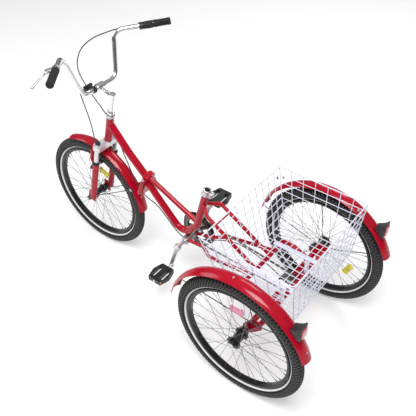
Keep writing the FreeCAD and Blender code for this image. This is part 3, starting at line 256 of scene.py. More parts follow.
class Piece:
    """Gathers several shapes into one named mesh."""

    def __init__(self, name):
        self.name = name
        self.verts = []
        self.faces = []

    def add(self, verts, faces):
        base = len(self.verts)
        self.verts.extend(verts)
        self.faces.extend(tuple(base + i for i in face) for face in faces)

    def loops(self, loops, closed):
        """Joins loops of points with quads, and caps the ends of an open run."""
        sides, count = len(loops[0]), len(loops)
        faces = []
        for i in range(count if closed else count - 1):
            for j in range(sides):
                a, b = i * sides, ((i + 1) % count) * sides
                faces.append((a + j, a + (j + 1) % sides, b + (j + 1) % sides, b + j))
        if not closed:
            faces.append(tuple(reversed(range(sides))))
            faces.append(tuple(range((count - 1) * sides, count * sides)))
        self.add([p for loop in loops for p in loop], faces)

    def tube(self, points, radius, sides, closed=False):
        """A round wire; radius is one number or one for each point."""
        points = [Vector(p) for p in points]
        radii = radius if isinstance(radius, (list, tuple)) else [radius] * len(points)
        normal = None
        loops = []
        for point, way, r in zip(points, directions(points, closed), radii):
            normal = way.orthogonal().normalized() if normal is None else normal
            normal = (normal - way * normal.dot(way)).normalized()
            beside = way.cross(normal)
            turns = [2 * math.pi * k / sides for k in range(sides)]
            loops.append([point + (normal * math.cos(t) + beside * math.sin(t)) * r for t in turns])
        self.loops(loops, closed)

    def lathe(self, centre, axis, profile, steps, closed=True):
        """Turns a profile of (radius, along) about an axis; an open profile is capped."""
        axis = Vector(axis).normalized()
        u = axis.orthogonal().normalized()
        v = axis.cross(u)
        count = len(profile)
        verts, faces = [], []
        for i in range(steps):
            t = 2 * math.pi * i / steps
            out = u * math.cos(t) + v * math.sin(t)
            verts.extend(centre + axis * along + out * r for r, along in profile)
        for i in range(steps):
            a, b = i * count, ((i + 1) % steps) * count
            for j in range(count if closed else count - 1):
                k = (j + 1) % count
                faces.append((a + j, a + k, b + k, b + j))
        if not closed:
            faces.append(tuple(i * count for i in range(steps)))
            faces.append(tuple((steps - 1 - i) * count + count - 1 for i in range(steps)))
        self.add(verts, faces)

    def slab(self, outline, centre, x_axis, z_axis, thickness):
        """A flat plate: an outline in x and z, with its thickness across them."""
        across = Vector(z_axis).cross(Vector(x_axis))
        loops = []
        for side in (-0.5, 0.5):
            loops.append([centre + x_axis * x + z_axis * z + across * (side * thickness) for x, z in outline])
        self.loops(loops, False)

    def block(self, centre, size, x_axis=X_AXIS, z_axis=Z_AXIS):
        x, y, z = (s / 2 for s in size)
        self.slab([(-x, -z), (x, -z), (x, z), (-x, z)], centre, x_axis, z_axis, 2 * y)

    def bolt(self, foot, axis, radius, height):
        """A washer with a six-sided head on it."""
        axis = Vector(axis).normalized()
        washer = [(radius * 1.45, 0), (radius * 1.45, height * 0.25), (radius, height * 0.3)]
        self.lathe(foot, axis, washer, 20, closed=False)
        head = [(radius, height * 0.25), (radius, height * 0.85), (radius * 0.8, height)]
        self.lathe(foot, axis, head, 6, closed=False)

    def finish(self, material, body, bevel=0.0, replaces=()):
        """Makes the object, smooth except at its sharp edges.

        body is one body's name, which the object is attached to; two names with places are not used, and the
        object is then left unattached.
        """
        mesh = bpy.data.meshes.new(self.name)
        mesh.from_pydata(self.verts, [], self.faces)
        shape = bmesh.new()
        shape.from_mesh(mesh)
        bmesh.ops.recalc_face_normals(shape, faces=shape.faces)
        if bevel:
            edges = [e for e in shape.edges if e.is_manifold and e.calc_face_angle(0) > BEVEL_ANGLE]
            bmesh.ops.bevel(shape, geom=edges, offset=bevel, segments=2, affect="EDGES", profile=0.5)
        shape.to_mesh(mesh)
        shape.free()
        mesh.materials.append(material)
        mesh.shade_smooth()
        mesh.set_sharp_from_angle(angle=SMOOTH_ANGLE)
        item = add_object(self.name, mesh)
        if isinstance(body, str):
            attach(item, body)
        else:
            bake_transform(item)
        if replaces:
            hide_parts(*replaces)


# ---- wheels ----
TYRE_CENTRE_RADIUS = 0.275
TYRE_RISE = 0.0240
TYRE_SPREAD = 0.0208
TYRE_EDGE = 150            # degrees across the section, from the crown to the rim
RIM_HALF_WIDTH = 0.014
LUGS = 112
LUG_ROOT = 0.0006
LUG_ROWS = (
    # degrees across the tread from and to, start and skew in steps, height
    (3, 15, 0.0, 0.5, 0.0038),
    (19, 31, 0.5, 0.3, 0.0034),
    (36, 60, 0.0, 0.0, 0.0028),
    (62, 84, 0.5, 0.0, 0.0016),
    (88, 106, 0.0, 0.0, 0.0009),
)
STRIPE_DEGREES = (129, 136, 143, 149)


def tyre_point(degrees, depth=0.0):
    """A point of the tyre's section, so far under (or above) its surface."""
    t = math.radians(degrees)
    return TYRE_CENTRE_RADIUS + (TYRE_RISE - depth) * math.cos(t), (TYRE_SPREAD - depth) * math.sin(t)


def tyre_profile():
    """The tyre's closed section: outside, bead, inside and the other bead."""
    outer = [tyre_point(d) for d in range(-TYRE_EDGE, TYRE_EDGE + 1, 10)]
    inner = [tyre_point(d, 0.003) for d in range(TYRE_EDGE, -TYRE_EDGE - 1, -20)]
    foot = [(BEAD_RADIUS + 0.0004, RIM_HALF_WIDTH - 0.0045)]
    other = [(r, -s) for r, s in foot]
    return outer + foot + inner + other


def lug(wheel, turn, low, high, skew, height):
    """One raised tread block between two places across the tread."""
    half = 0.25 * 360.0 / LUGS      # blocks and gaps are equally long
    verts = []
    for depth in (LUG_ROOT, -height):
        for degrees, shift in ((low, 0.0), (high, skew)):
            radius, side = tyre_point(degrees, depth)
            for way in (-half, half):
                verts.append(polar(wheel, radius, turn + shift + way, side))
    faces = [(4, 5, 7, 6), (0, 4, 6, 2), (1, 3, 7, 5), (0, 1, 5, 4), (2, 6, 7, 3), (0, 2, 3, 1)]
    return verts, faces


def make_tyre(name, centre):
    """The tyre with five rows of tread blocks on each side of its crown."""
    tyre = Piece(name + "_tyre_tread")
    tyre.lathe(centre, Y_AXIS, tyre_profile(), 144)
    tyre.finish(FINISH["tyre_rubber"], WHEEL_BODY[name], replaces=[name + "_tyre"])
    lugs = Piece(name + "_tyre_lugs")
    step = 360.0 / LUGS
    for i in range(LUGS):
        for side in (-1, 1):
            for low, high, start, skew, height in LUG_ROWS:
                turn = step * (i + start)
                lugs.add(*lug(centre, turn, side * low, side * high, side * skew * step, height))
    # The tread blocks take the lighter rubber, a painted highlight on the knobs.
    lugs.finish(LUG_RUBBER_PAINTED_HIGHLIGHT, WHEEL_BODY[name])


def make_sidewall_stripe(name, centre):
    """The thin white line round each side of the tyre, next to the rim."""
    stripe = Piece(name + "_tyre_stripe")
    for side in (-1, 1):
        outer = [tyre_point(side * d, -0.0006) for d in STRIPE_DEGREES]
        inner = [tyre_point(side * d, 0.0010) for d in reversed(STRIPE_DEGREES)]
        stripe.lathe(centre, Y_AXIS, outer + inner, 144)
    stripe.finish(WHITE_RUBBER, WHEEL_BODY[name])


SPOKES_PER_SIDE = 18
SPOKE_RADIUS = 0.00095
SPOKE_CROSSING = 60.0      # degrees round the wheel from a spoke's hub end to its rim end
FLANGE_SKIN = 0.003        # from a flange's middle to the spokes on each face
FLANGE_SIDE = 0.028
FLANGE_RADIUS = {"front": 0.021, "left": 0.028, "right": 0.028}


def make_spokes(name, centre):
    """Three-cross lacing, with an elbow at the hub and a nipple at the rim."""
    spokes = Piece(name + "_spoke_set")
    nipples = Piece(name + "_spoke_nipples")
    step = 360.0 / SPOKES_PER_SIDE
    for side in (-1, 1):
        for i in range(SPOKES_PER_SIDE):
            lean = 1 if i % 2 else -1
            at_hub = step * i + side * step / 4
            at_rim = at_hub + lean * SPOKE_CROSSING
            flange = side * (FLANGE_SIDE + lean * FLANGE_SKIN)
            other_face = flange - side * lean * 2 * FLANGE_SKIN
            elbow = polar(centre, FLANGE_RADIUS[name] - 0.001, at_hub, flange)
            through = polar(centre, FLANGE_RADIUS[name] - 0.001, at_hub, other_face)
            end = polar(centre, RIM_INNER_RADIUS, at_rim, side * 0.003)
            way = (end - elbow).normalized()
            spokes.tube([through, elbow, elbow + way * 0.004, end - way * 0.008], SPOKE_RADIUS, 6)
            grip = [end - way * back for back in (0.013, 0.011, 0.002, 0.0)]
            nipples.tube(grip, [0.0013, 0.0019, 0.0019, 0.0026], 8)
    body = WHEEL_BODY[name]
    spokes.finish(FINISH["spoke_steel"], body, replaces=[name + "_spokes"])
    nipples.finish(DARK_STEEL, body)


VALVE_ANGLE = {"front": 104, "left": 81, "right": 330}
REFLECTOR_ANGLE = {"front": 113, "left": 87, "right": 206}
REFLECTOR_RADIUS = 0.160   # of its place on the wheel
REFLECTOR_LENS = {"front": YELLOW_LENS, "left": PINK_LENS, "right": YELLOW_LENS}


def make_valve(name, centre):
    """The valve stem with its collar and cap, from the rim inward."""
    valve = Piece(name + "_valve")
    radii = [0.238, 0.224, 0.2235, 0.215, 0.2145, 0.199, 0.198]
    widths = [0.0032, 0.0030, 0.0042, 0.0042, 0.0030, 0.0036, 0.0028]
    angle = VALVE_ANGLE[name]
    valve.tube([polar(centre, r, angle) for r in radii], widths, 12)
    valve.finish(FINISH["steel"], WHEEL_BODY[name])


def rounded_outline(length, height, corner):
    """A rectangle with round corners, about the origin."""
    steps = 4
    points = []
    for quarter, (sx, sz) in enumerate(((1, 1), (-1, 1), (-1, -1), (1, -1))):
        cx, cz = sx * (length / 2 - corner), sz * (height / 2 - corner)
        for i in range(steps + 1):
            t = math.radians(90 * quarter + 90 * i / steps)
            points.append((cx + corner * math.cos(t), cz + corner * math.sin(t)))
    return points


def make_spoke_reflector(name, centre):
    """A reflector clipped between the spokes, with a lens on each face."""
    angle = REFLECTOR_ANGLE[name]
    out = (polar(centre, 1, angle) - centre).normalized()
    along = out.cross(Y_AXIS)
    at = polar(centre, REFLECTOR_RADIUS, angle)
    lens = Piece(name + "_spoke_reflector")
    lens.slab(rounded_outline(0.064, 0.026, 0.008), at, along, out, 0.0095)
    for way in (-1, 1):
        lens.block(at + along * (way * 0.022), (0.006, 0.014, 0.032), along, out)
    lens.finish(REFLECTOR_LENS[name], WHEEL_BODY[name], bevel=0.0012)


def make_hub_caps(name, centre):
    """Lock nuts and washers on the hub's ends."""
    nuts = Piece(name + "_hub_nuts")
    low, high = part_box(name + "_hub")
    for side, end in ((-1, low.y), (1, high.y)):
        foot = Vector((centre.x, end - side * 0.0005, centre.z))
        profile = [(0.0165, 0), (0.0165, 0.0015), (0.012, 0.002), (0.012, 0.006)]
        ring = [(0.0088, 0.006), (0.0088, 0)]
        nuts.lathe(foot, Y_AXIS * side, profile + ring, 6 if name == "front" else 36)
    nuts.finish(DARK_STEEL, WHEEL_BODY[name])


def make_wheels():
    for name, centre in WHEELS.items():
        make_tyre(name, centre)
        make_sidewall_stripe(name, centre)
        make_spokes(name, centre)
        make_valve(name, centre)
        make_spoke_reflector(name, centre)
        make_hub_caps(name, centre)


# ---- basket ----
SIDE_COLUMNS, END_COLUMNS, WALL_ROWS = 7, 12, 7
FLOOR_COLUMNS, FLOOR_ROWS = 12, 14
WIRE_RADIUS = 0.0018
RIM_WIRE_RADIUS = 0.0028
FLOOR_SHRINK = 0.94       # the CAD floor panel against the opening it fills


def basket_corners():
    """Top and floor corners, each in order round the basket from the back right."""
    low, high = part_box("basket_walls")
    floor_low, floor_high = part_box("basket_floor")
    mid = (floor_low + floor_high) / 2
    half = (floor_high - floor_low) / (2 * FLOOR_SHRINK)

    def corners(x0, x1, y, z):
        return [Vector((x0, -y, z)), Vector((x1, -y, z)), Vector((x1, y, z)), Vector((x0, y, z))]

    x0, x1 = low.x + WIRE_RADIUS, high.x - WIRE_RADIUS
    top = corners(x0, x1, high.y - WIRE_RADIUS, high.z - RIM_WIRE_RADIUS)
    floor = corners(mid.x - half.x, mid.x + half.x, half.y, floor_high.z + 0.001)
    return top, floor


def share(a, b, t):
    """The point that is the share t of the way from a to b."""
    return a + (b - a) * t


def add_wires(piece, first, second, count, lift=Vector()):
    """Wires from one edge to another, where each edge is given by its two ends."""
    for k in range(1, count):
        t = k / count
        piece.tube([share(*first, t) + lift, share(*second, t) + lift], WIRE_RADIUS, 6)


def make_basket():
    """Four walls and a floor of crossed wires, with stronger wires at the edges."""
    top, floor = basket_corners()
    wires = Piece("basket_wires")
    for i in range(4):
        a, b, c, d = floor[i], floor[(i + 1) % 4], top[(i + 1) % 4], top[i]
        columns = SIDE_COLUMNS if i % 2 == 0 else END_COLUMNS
        outward = (b - a).cross(d - a).normalized()
        for k in range(1, columns):
            t = k / columns
            start, end = share(a, b, t), share(d, c, t)
            wires.tube([start, share(start, end, 0.5), end], WIRE_RADIUS, 6)
        add_wires(wires, (a, d), (b, c), WALL_ROWS, outward * (WIRE_RADIUS * 1.6))
        wires.tube([a, d], RIM_WIRE_RADIUS * 0.8, 8)
    a, b, c, d = floor
    add_wires(wires, (a, b), (d, c), FLOOR_COLUMNS, Z_AXIS * (-2 * WIRE_RADIUS))
    add_wires(wires, (a, d), (b, c), FLOOR_ROWS)
    wires.tube(rounded_loop(floor, 0.012), RIM_WIRE_RADIUS * 0.8, 8, closed=True)
    wires.tube(rounded_loop(top, 0.018), RIM_WIRE_RADIUS, 10, closed=True)
    wires.finish(FINISH["basket_white"], "rear_frame",
                 replaces=["basket_walls", "basket_floor"])
    make_basket_clips(top)


def rounded_loop(corners, radius):
    """The corners as one closed path, each turned with a small arc."""
    steps = 5
    points = []
    for i, corner in enumerate(corners):
        before = (corners[i - 1] - corner).normalized()
        after = (corners[(i + 1) % 4] - corner).normalized()
        for k in range(steps + 1):
            t = math.pi / 2 * k / steps
            inset = (1 - math.sin(t)) * radius, (1 - math.cos(t)) * radius
            points.append(corner + before * inset[0] + after * inset[1])
    return points


def make_basket_clips(top):
    """Round washers with screws, which hold the walls together near the corners."""
    clips = Piece("basket_clips")
    washer = [(0.0075, 0), (0.0075, 0.0012), (0.0040, 0.0014), (0.0036, 0.003)]
    for i, corner in enumerate(top):
        after = (top[(i + 1) % 4] - corner).normalized()
        before = (top[i - 1] - corner).normalized()
        for along, out in ((after, -before), (before, -after)):
            foot = corner + along * 0.030 - Z_AXIS * 0.040 - out * 0.012
            clips.lathe(foot, out, washer, 24, closed=False)
    clips.finish(FINISH["steel"], "rear_frame")


# ---- drive ----
def pitch_radius(teeth):
    """The radius of the chain's line round a ring with so many teeth."""
    return CHAIN_PITCH / (2 * math.sin(math.pi / teeth))


def chain_circles():
    """Centre and radius of the chainring, the sprocket and the tensioner's wheel."""
    side = middle("chain").y
    ring = Vector((BOTTOM_BRACKET.x, side, BOTTOM_BRACKET.z))
    rear = Vector((REAR_AXLE_X, side, TYRE_RADIUS))
    tensioner = place(0.078, side, 0.238)
    return [(ring, pitch_radius(CHAINRING_TEETH)), (rear, pitch_radius(SPROCKET_TEETH)),
            (tensioner, TENSIONER_RADIUS)]


def belt_points(circles):
    """Points of the line drawn tight round the circles."""
    arc_step = 3.0
    normals = []
    for i, (a, ra) in enumerate(circles):
        b, rb = circles[(i + 1) % len(circles)]
        line = b - a
        along = line.normalized()
        lean = (ra - rb) / line.length
        outward = Vector((along.z, 0, -along.x))
        normals.append(along * lean + outward * math.sqrt(1 - lean * lean))
    points = []
    for i, (centre, radius) in enumerate(circles):
        start = math.atan2(normals[i - 1].z, normals[i - 1].x)
        end = math.atan2(normals[i].z, normals[i].x)
        turn = (end - start) % (2 * math.pi)
        steps = max(2, round(math.degrees(turn) / arc_step))
        for k in range(steps + 1):
            t = start + turn * k / steps
            points.append(centre + Vector((math.cos(t), 0, math.sin(t))) * radius)
    return points


def even_points(points, pitch):
    """Points a chain pitch apart round a closed line, an even number of them."""
    ends = points[1:] + points[:1]
    lengths = [(b - a).length for a, b in zip(points, ends)]
    total = sum(lengths)
    count = 2 * round(total / pitch / 2)
    result = []
    travelled, index = 0.0, 0
    for k in range(count):
        target = total * k / count
        while travelled + lengths[index] < target:
            travelled += lengths[index]
            index += 1
        part = (target - travelled) / lengths[index]
        result.append(points[index] + (ends[index] - points[index]) * part)
    return result


def link_outline(pitch):
    """The waisted shape of a chain plate between two pins."""
    end, waist = 0.0040, 0.0028
    points = []
    for way, first in ((1, -60), (-1, 120)):
        for degrees in range(first, first + 121, 30):
            t = math.radians(degrees)
            points.append((way * pitch / 2 + end * math.cos(t), end * math.sin(t)))
        points.append((0, way * waist))
    return points


PLATE_GAPS = (0.0032, 0.0021)      # of outer and inner links, from the chain's middle
PLATE_THICKNESS = 0.0009
PIN_REACH = 0.0035
ROLLER_RADIUS = 0.0026


def make_chain():
    """Outer and inner links in turn, with a roller at each pin."""
    chain = Piece("chain_links")
    pins = even_points(belt_points(chain_circles()), CHAIN_PITCH)
    for i, pin in enumerate(pins):
        after = pins[(i + 1) % len(pins)]
        along = (after - pin).normalized()
        up = along.cross(Y_AXIS)
        gap = PLATE_GAPS[i % 2]
        outline = link_outline((after - pin).length)
        for side in (-gap, gap):
            chain.slab(outline, (pin + after) / 2 + Y_AXIS * side, along, up, PLATE_THICKNESS)
        chain.tube([pin - Y_AXIS * PIN_REACH, pin + Y_AXIS * PIN_REACH], ROLLER_RADIUS, 8)
    chain.finish(FINISH["chain_steel"], "rear_frame", replaces=["chain"])


def toothed_plate(piece, centre, teeth, bore, half_width, phase):
    """A flat ring with chain teeth round its edge."""
    root = pitch_radius(teeth) - 0.0042
    tip = pitch_radius(teeth) + 0.0030
    pattern = ((0.0, root), (0.28, root), (0.42, tip), (0.58, tip), (0.72, root))
    loops = []
    for i in range(teeth):
        for part, radius in pattern:
            turn = 360.0 * (i + part) / teeth + phase
            width = half_width if radius == root else half_width * 0.5
            loops.append([polar(centre, bore, turn, -half_width), polar(centre, radius, turn, -width),
                          polar(centre, radius, turn, width), polar(centre, bore, turn, half_width)])
    piece.loops(loops, True)


SPIDER_ARMS = 5
CRANK_ANGLE = -72.0


def make_chainring():
    """Toothed ring, five-armed spider and the guard disc outside the chain."""
    centre, radius = chain_circles()[0]
    ring = Piece("chainring_teeth")
    toothed_plate(ring, centre, CHAINRING_TEETH, radius - 0.020, 0.0011, CRANK_ANGLE)
    ring.finish(FINISH["chain_steel"], "cranks", replaces=["chainring"])
    guard = Piece("chain_guard")
    outside = -0.0085
    rim = [(radius + 0.011, outside - 0.0012), (radius + 0.012, outside), (radius + 0.011, outside + 0.0012),
           (radius - 0.020, outside + 0.0012), (radius - 0.022, outside), (radius - 0.020, outside - 0.0012)]
    guard.lathe(centre, Y_AXIS, rim, 96)
    for i in range(SPIDER_ARMS):
        turn = 360.0 * i / SPIDER_ARMS + CRANK_ANGLE
        out = (polar(centre, 1, turn) - centre).normalized()
        arm = [(0.018, -0.012), (radius - 0.012, -0.0065), (radius - 0.012, 0.0065), (0.018, 0.012)]
        guard.slab(arm, centre + Y_AXIS * (outside + 0.0035), out, out.cross(Y_AXIS), 0.004)
    guard.finish(FINISH["black_paint"], "cranks", bevel=0.0006)
    bolts = Piece("chainring_bolts")
    for i in range(SPIDER_ARMS):
        turn = 360.0 * i / SPIDER_ARMS + CRANK_ANGLE
        foot = polar(centre, radius - 0.016, turn, outside - 0.0012)
        bolts.bolt(foot, -Y_AXIS, 0.0042, 0.003)
        bolts.tube([foot, foot + Y_AXIS * 0.0095], 0.0035, 12)
    bolts.finish(FINISH["steel"], "cranks")


def make_sprocket():
    """The toothed ring on the right axle, with its hub."""
    centre, radius = chain_circles()[1]
    gear = Piece("rear_sprocket")
    toothed_plate(gear, centre, SPROCKET_TEETH, 0.0086, 0.0011, 9.0)
    body = [(0.0085, -0.011), (0.020, -0.011), (0.024, -0.008),
            (0.024, 0.008), (0.020, 0.011), (0.0085, 0.011)]
    gear.lathe(centre, Y_AXIS, body, 48)
    gear.finish(FINISH["chain_steel"], "drive_wheel", replaces=["sprocket"])


def make_crank_caps():
    """Round dust caps over the crank bolts."""
    for side, name in ((1, "left"), (-1, "right")):
        cap = Piece("crank_cap_" + name)
        foot = Vector((BOTTOM_BRACKET.x, side * 0.0978, BOTTOM_BRACKET.z))
        dome = [(0.012, 0), (0.012, 0.002), (0.009, 0.0036), (0.004, 0.004)]
        cap.lathe(foot, Y_AXIS * side, dome, 32, closed=False)
        cap.finish(FINISH["alloy"], "cranks")


PEDAL_STUDS = 7


def make_pedal_studs(name, body):
    """Rows of raised grips across the top and bottom of a pedal."""
    low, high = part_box(name)
    centre = (low + high) / 2
    studs = Piece(name + "_studs")
    for face in (-1, 1):
        z = low.z if face < 0 else high.z
        for end in (-1, 1):
            for i in range(PEDAL_STUDS):
                x = centre.x + 0.028 * (2 * i / (PEDAL_STUDS - 1) - 1)
                y = centre.y + end * 0.0435
                studs.block(Vector((x, y, z + face * 0.0004)), (0.0045, 0.009, 0.0026))
    studs.finish(FINISH["black_plastic"], body, bevel=0.0006)


def make_pedal_reflectors(name, body):
    """Amber reflectors on the front and back faces of a pedal."""
    low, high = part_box(name)
    centre = (low + high) / 2
    lenses = Piece(name + "_reflectors")
    for way, x in ((-1, low.x + 0.014), (1, high.x - 0.014)):
        for end in (-1, 1):
            at = Vector((x + way * 0.0008, centre.y + end * 0.041, centre.z))
            lenses.slab(rounded_outline(0.014, 0.016, 0.002), at, Y_AXIS, Z_AXIS, 0.002)
    lenses.finish(AMBER_LENS, body, bevel=0.0004)


# ---- handlebar ----
BAR_END = (0.855, 0.339, 1.150)
BAR_SHOULDER = (1.008, 0.150, 1.135)
GRIP_LENGTH = 0.120
GRIP_RADIUS = 0.016
TWIST_LENGTH = 0.047
TWIST_RIDGES = 24
SLEEVE_GAP = 0.0006        # at each end of the twist sleeve


def bar_line(side):
    """The end of the bar and the direction inward along the grip."""
    end = place(BAR_END[0], side * BAR_END[1], BAR_END[2])
    shoulder = place(BAR_SHOULDER[0], side * BAR_SHOULDER[1], BAR_SHOULDER[2])
    return end, (shoulder - end).normalized()


def ribbed_profile(length, ribs, radius):
    """A grip's outline along its bar, with rings round it."""
    profile = [(0.008, -0.004), (radius - 0.0015, -0.0035), (radius, 0.0), (radius, 0.010)]
    run = (length - 0.030) / ribs
    for i in range(ribs):
        start = 0.012 + run * i
        profile += [(radius - 0.0017, start), (radius - 0.0017, start + run * 0.35),
                    (radius - 0.0004, start + run * 0.5), (radius - 0.0004, start + run * 0.9)]
    return profile + [(radius, length - 0.012), (radius, length - 0.002), (0.0130, length)]


def make_grips():
    """The left grip is long; the right one leaves room for the twist sleeve."""
    grips = Piece("handlebar_grips")
    for side, length, ribs in ((1, GRIP_LENGTH, 20), (-1, GRIP_LENGTH - TWIST_LENGTH, 12)):
        end, inward = bar_line(side)
        grips.lathe(end, inward, ribbed_profile(length, ribs, GRIP_RADIUS), 40, closed=False)
    grips.finish(FINISH["grip_rubber"], "steering", replaces=["grips"])


def make_twist_sleeve():
    """The knurled sleeve that shifts the gears, with ridges along it."""
    end, inward = bar_line(-1)
    start = end + inward * (GRIP_LENGTH - TWIST_LENGTH + SLEEVE_GAP)
    length = TWIST_LENGTH - 2 * SLEEVE_GAP
    beside = inward.orthogonal().normalized()
    above = inward.cross(beside)
    loops = []
    for along, depth in ((0.0, 0.003), (0.001, 0.0012), (0.002, 0.0), (0.030, 0.0), (0.034, 0.001),
                         (length - 0.001, 0.001), (length, 0.003)):
        loop = []
        for i in range(4 * TWIST_RIDGES):
            t = 2 * math.pi * i / (4 * TWIST_RIDGES)
            ridge = 0.0009 if i % 4 < 2 else 0.0
            radius = GRIP_RADIUS + 0.0004 - depth - (ridge if along < 0.032 else 0.0)
            loop.append(start + inward * along + (beside * math.cos(t) + above * math.sin(t)) * radius)
        loops.append(loop)
    sleeve = Piece("twist_shifter_sleeve")
    sleeve.loops(loops, False)
    sleeve.finish(FINISH["grip_rubber"], "shift_handle", replaces=["twist_sleeve"])


def make_front_lens():
    """The clear lens on the reflector bracket of the handlebar."""
    low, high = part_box("front_reflector")
    centre = (low + high) / 2
    lens = Piece("front_reflector_lens")
    at = Vector((high.x - 0.0012, centre.y, low.z + 0.016))
    lens.slab(rounded_outline(0.042, 0.028, 0.005), at, Y_AXIS, Z_AXIS, 0.002)
    lens.finish(CLEAR_LENS, "steering", bevel=0.0005)


# ---- fork and brakes ----
LEG_FORE, LEG_SIDE = 0.008, 0.060
LOWERS_TOP = 0.392
CROWN_TOP = 0.269


def make_fork_seals():
    """Rubber seals round the upper tubes, where they enter the lower legs."""
    seals = Piece("fork_seals")
    for side in (-LEG_SIDE, LEG_SIDE):
        foot = steer(LOWERS_TOP + 0.001, LEG_FORE, side)
        profile = [(0.0122, 0), (0.0160, 0), (0.0170, 0.002), (0.0170, 0.006), (0.0156, 0.008),
                   (0.0156, 0.011), (0.0146, 0.013), (0.0146, 0.016), (0.0130, 0.018), (0.0122, 0.018)]
        seals.lathe(foot, -STEER_DOWN, profile, 40)
    seals.finish(FINISH["grip_rubber"], "fork_slider")


def make_crown_caps():
    """Adjuster caps on top of the fork legs."""
    caps = Piece("fork_caps")
    for side in (-LEG_SIDE, LEG_SIDE):
        foot = steer(CROWN_TOP - 0.0075, LEG_FORE, side)
        profile = [(0.0125, 0), (0.0125, 0.003), (0.0110, 0.0045), (0.0110, 0.009), (0.0095, 0.0105)]
        caps.lathe(foot, -STEER_DOWN, profile, 24, closed=False)
    caps.finish(FINISH["black_plastic"], "steering")


BRAKE_FORE = 0.033
BRAKE_TOP = 0.334
BRAKE_PIVOT_ALONG, BRAKE_PIVOT_SIDE = 0.440, 0.057
NOODLE_TOP = steer(BRAKE_TOP, BRAKE_FORE + 0.018, 0.022)


def make_brake_details():
    """The bolts of both brake arms, and the bent guide tube between them."""
    for side, body, name in ((1, "left_brake", "left"), (-1, "right_brake", "right")):
        bolts = Piece("brake_bolts_" + name)
        pivot = steer(BRAKE_PIVOT_ALONG, BRAKE_FORE + 0.0062, side * BRAKE_PIVOT_SIDE)
        bolts.bolt(pivot, STEER_FORE, 0.0045, 0.004)
        bolts.bolt(steer(BRAKE_TOP + 0.006, BRAKE_FORE + 0.004, side * 0.040), STEER_FORE, 0.004, 0.004)
        bolts.finish(FINISH["steel"], body)
    noodle = Piece("brake_noodle")
    route = [NOODLE_TOP, steer(BRAKE_TOP + 0.004, BRAKE_FORE + 0.012, 0.010),
             steer(BRAKE_TOP + 0.002, BRAKE_FORE + 0.008, -0.010),
             steer(BRAKE_TOP, BRAKE_FORE + 0.006, -0.028)]
    noodle.tube(smooth_line(route), 0.0022, 10)
    noodle.finish(FINISH["steel"], "fork_slider")


def make_axle_nuts():
    """Black nuts on the front axle, and round caps on the ends of the rear axles."""
    front = Piece("front_axle_nuts")
    for side in (-1, 1):
        foot = WHEELS["front"] + Y_AXIS * (side * 0.0563)
        nut = [(0.0135, 0), (0.0135, 0.0018), (0.0116, 0.0024), (0.0116, 0.0120), (0.0104, 0.0165)]
        front.lathe(foot, Y_AXIS * side, nut, 6, closed=False)
    front.finish(FINISH["black_paint"], "fork_slider", bevel=0.0004)
    for side, body in ((1, "rear_frame"), (-1, "drive_wheel")):
        cap = Piece("rear_axle_cap_" + ("left" if side > 0 else "right"))
        foot = Vector((REAR_AXLE_X, side * 0.3655, TYRE_RADIUS))
        dome = [(0.0142, 0), (0.0142, 0.0070), (0.0120, 0.0100), (0.0060, 0.0104)]
        cap.lathe(foot, Y_AXIS * side, dome, 40, closed=False)
        cap.finish(FINISH["black_plastic"], body)


# ---- fenders ----
FENDERS = {
    # crown radius, half width, drop of the edges, start and end angle
    "front": (0.318, 0.027, 0.009, 66.0, 175.0),
    "left": (0.337, 0.030, 0.012, 14.0, 161.0),
    "right": (0.337, 0.030, 0.012, 14.0, 161.0),
}


def make_fender_edges(name):
    """The rolled bead along the two edges of a fender."""
    crown, half, drop, start, end = FENDERS[name]
    beads = Piece(name + "_fender_beads")
    steps = 48
    for side in (-1, 1):
        angles = [start + 0.4 + (end - start - 0.8) * k / steps for k in range(steps + 1)]
        path = [polar(WHEELS[name], crown - drop - 0.0008, a, side * (half - 0.0012)) for a in angles]
        beads.tube(path, 0.0016, 8)
    body = "fork_slider" if name == "front" else "rear_frame"
    beads.finish(FINISH["red_paint"], body)


def make_fender_bolts():
    """Bolts through the crowns of the fenders, into what holds them."""
    for piece, names, angles, body in (("rear_fender_bolts", ("left", "right"), (86.0, 154.0), "rear_frame"),
                                       ("front_fender_bolts", ("front",), (97.0, 160.0), "fork_slider")):
        bolts = Piece(piece)
        for name in names:
            crown = FENDERS[name][0]
            for angle in angles:
                out = (polar(Vector(), 1, angle)).normalized()
                bolts.bolt(polar(WHEELS[name], crown - 0.0012, angle), out, 0.0040, 0.0032)
        bolts.finish(FINISH["steel"], body)


CLIP_ANGLE = 150.0
CLIP_RADIUS = 0.308


def make_fender_clips():
    """Dark clips with bright screws, where the front stays meet the fender."""
    clips = Piece("fender_clips")
    screws = Piece("fender_clip_screws")
    half = FENDERS["front"][1]
    for side in (-1, 1):
        edge = polar(WHEELS["front"], CLIP_RADIUS, CLIP_ANGLE, side * (half + 0.0012))
        out = (polar(Vector(), 1, CLIP_ANGLE)).normalized()
        clips.block(edge, (0.016, 0.004, 0.026), out.cross(Y_AXIS), out)
        screws.bolt(edge + Y_AXIS * (side * 0.0018), Y_AXIS * side, 0.0050, 0.0040)
    clips.finish(FINISH["black_plastic"], "fork_slider", bevel=0.0008)
    screws.finish(FINISH["steel"], "fork_slider")


TAIL_LENS = (0.034, 0.046)
TAIL_OUTLINE = ((-0.234, 0.552), (-0.262, 0.520), (-0.272, 0.512), (-0.279, 0.516), (-0.284, 0.586),
                (-0.279, 0.586), (-0.266, 0.571), (-0.250, 0.560))


